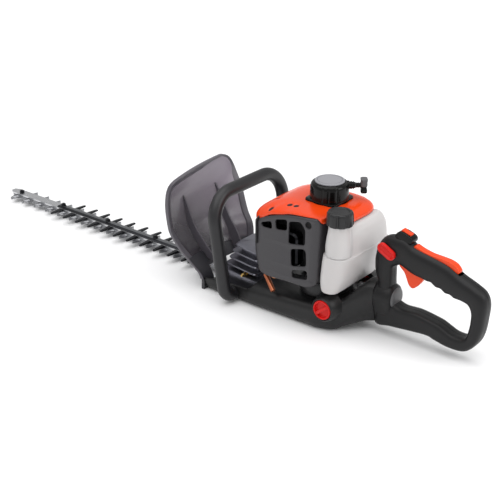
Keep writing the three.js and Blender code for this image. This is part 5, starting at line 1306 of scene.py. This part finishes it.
# The hub's front view is an egg: a height and a radius for its top and its foot. Each row of its
# profile has a distance along X and how far the egg is drawn in there.
HUB_TOP = (67.0, 23.0)
HUB_FOOT = (29.0, 12.0)
HUB_PROFILE = [
    (SEAM_LIMIT, 0.8), (SEAM_LIMIT - 0.8, 0), (-124, 0), (-129, 0.5), (-132.6, 1.8), (-134.6, 3.6),
    (-136, 6.6),
]

tangent = np.degrees(np.arcsin((HUB_TOP[1] - HUB_FOOT[1]) / (HUB_TOP[0] - HUB_FOOT[0])))
egg = np.concatenate([
    bend((0, HUB_TOP[0]), HUB_TOP[1], -tangent, 180 + tangent, 40),
    bend((0, HUB_FOOT[0]), HUB_FOOT[1], 180 + tangent, 360 - tangent, 16),
])
hub_rows = []
for x, inset in HUB_PROFILE:
    hub_rows.append(end_on(drawn_in(egg, inset), x))
for side, way, fused in (("left", 1, [stack(np.array(hub_rows))]), ("right", -1, [])):
    make_piece(f"shell_{side}", joined(half_shell(way), *fused), handle_black, "rear_handle",
               [f"handle_{side}_shell"], sharp=38.0)
# The disc on the hub's end, its lighter grey a painted sheen.
disc_profile = [
    (134, 0.01), (134, 17.2), (136.4, 17.2), (137.6, 16.6), (138.6, 15.2), (139.6, 11), (140.1, 5),
    (140.2, 0.01),
]
make_piece("hub_disc", turned(disc_profile, (0, 0, HUB_TOP[0]), (-1, 0, 0), 56), hub_painted_sheen, "rear_handle")

# ---------------------------------------------------------------- throttle, lockout and stop switch
# The orange trigger hangs under the top bar and its lockout lies along the bar's back, so that both
# are held in one grip. The stop switch's rocker sits in a low black bezel ahead of them.

TRIGGER_OUTLINE = [
    (-141, 138), (-140, 128), (-151, 119), (-160, 99), (-167, 94.5), (-176, 102), (-188, 120), (-183, 132),
    (-156, 139),
]
LOCKOUT_OUTLINE = [
    (-164, 160), (-165, 171), (-180, 165.6), (-196, 162.2), (-212, 161.6), (-228, 160.6), (-239, 157),
    (-247, 148), (-244, 143), (-226, 152), (-190, 156),
]
SWITCH_OUTLINE = [
    (-131, 176), (-134, 183), (-139, 187), (-146, 187), (-160, 182), (-164, 177.5), (-162, 170), (-148, 172),
]
ROCKER_OUTLINE = [(-157.6, 181.4), (-158.4, 185), (-150, 186.6), (-141.6, 190.4), (-140.4, 186.2)]

# Each row: the piece, its outline and its corners' reach, half its width, its edges' radius, then
# its finish, its body, the node that it stands in for and its slot.
CONTROLS = [
    ("trigger_blade", TRIGGER_OUTLINE, 4.5, 6, 1.6, orange_gloss, "trigger_set", "throttle_trigger",
     "orange_plastic"),
    ("lockout_blade", LOCKOUT_OUTLINE, 5, 6, 1.4, orange_gloss, "lockout_set", "throttle_lockout",
     "orange_plastic"),
    ("switch_bezel", SWITCH_OUTLINE, 4, 9.5, 1.6, gloss_black, "rear_handle", "stop_switch",
     "black_plastic"),
    ("rocker_key", ROCKER_OUTLINE, 1.6, 5, 0.8, orange_gloss, "rocker_set", "stop_rocker", "red_plastic"),
]
for name, corners, corner, half, edge, finish, body, node, slot in CONTROLS:
    surface = slab(rounded(corners, corner, 6), -half, half, edge, side_on)
    make_piece(name, surface, finish, body, [node])

# ---------------------------------------------------------------- swivel lock
# A red plastic lever lies flat on the handle's left side over the swivel. A shallow well along its
# face takes the thumb.

LOCK_CENTRE = (-124.0, 152.0)
LOCK_ANGLE = 28.0
LOCK_HALF_LENGTH = 17.0
LOCK_RADIUS = 8.8

lock_low, lock_high = box_of("swivel_lock")
lean = np.radians(LOCK_ANGLE)
lock_axis = np.array([np.cos(lean), np.sin(lean)])
lock_turn = np.radians(np.linspace(0, 360, 48, endpoint=False))
capsule = np.column_stack([np.cos(lock_turn), np.sin(lock_turn)])
stretch = np.where(capsule[:, :1] >= 0, 1.0, -1.0) * np.array([LOCK_HALF_LENGTH - LOCK_RADIUS, 0.0])


def lock_ring(radius, y):
    """A stadium of this radius along the lock's slanting axis, in the plane at y."""
    flat = capsule * radius + stretch
    turned_flat = np.column_stack([flat[:, 0] * lock_axis[0] - flat[:, 1] * lock_axis[1],
                                   flat[:, 0] * lock_axis[1] + flat[:, 1] * lock_axis[0]])
    return side_on(turned_flat + np.array(LOCK_CENTRE), y)


# Each row: the stadium's radius, and how far it stands past the lever's face.
LOCK_PROFILE = [
    (LOCK_RADIUS, -1.0), (8.4, -0.1), (7.6, 0.4), (6.4, 0.3), (5.4, -0.8), (4.6, -2.0), (2.0, -2.6),
]
lock_rings = [lock_ring(LOCK_RADIUS, lock_low[1])]
lock_rings += [lock_ring(radius, lock_high[1] + stand) for radius, stand in LOCK_PROFILE]
make_piece("lock_lever", stack(np.array(lock_rings)), red_nylon, "lock_set", ["swivel_lock"])
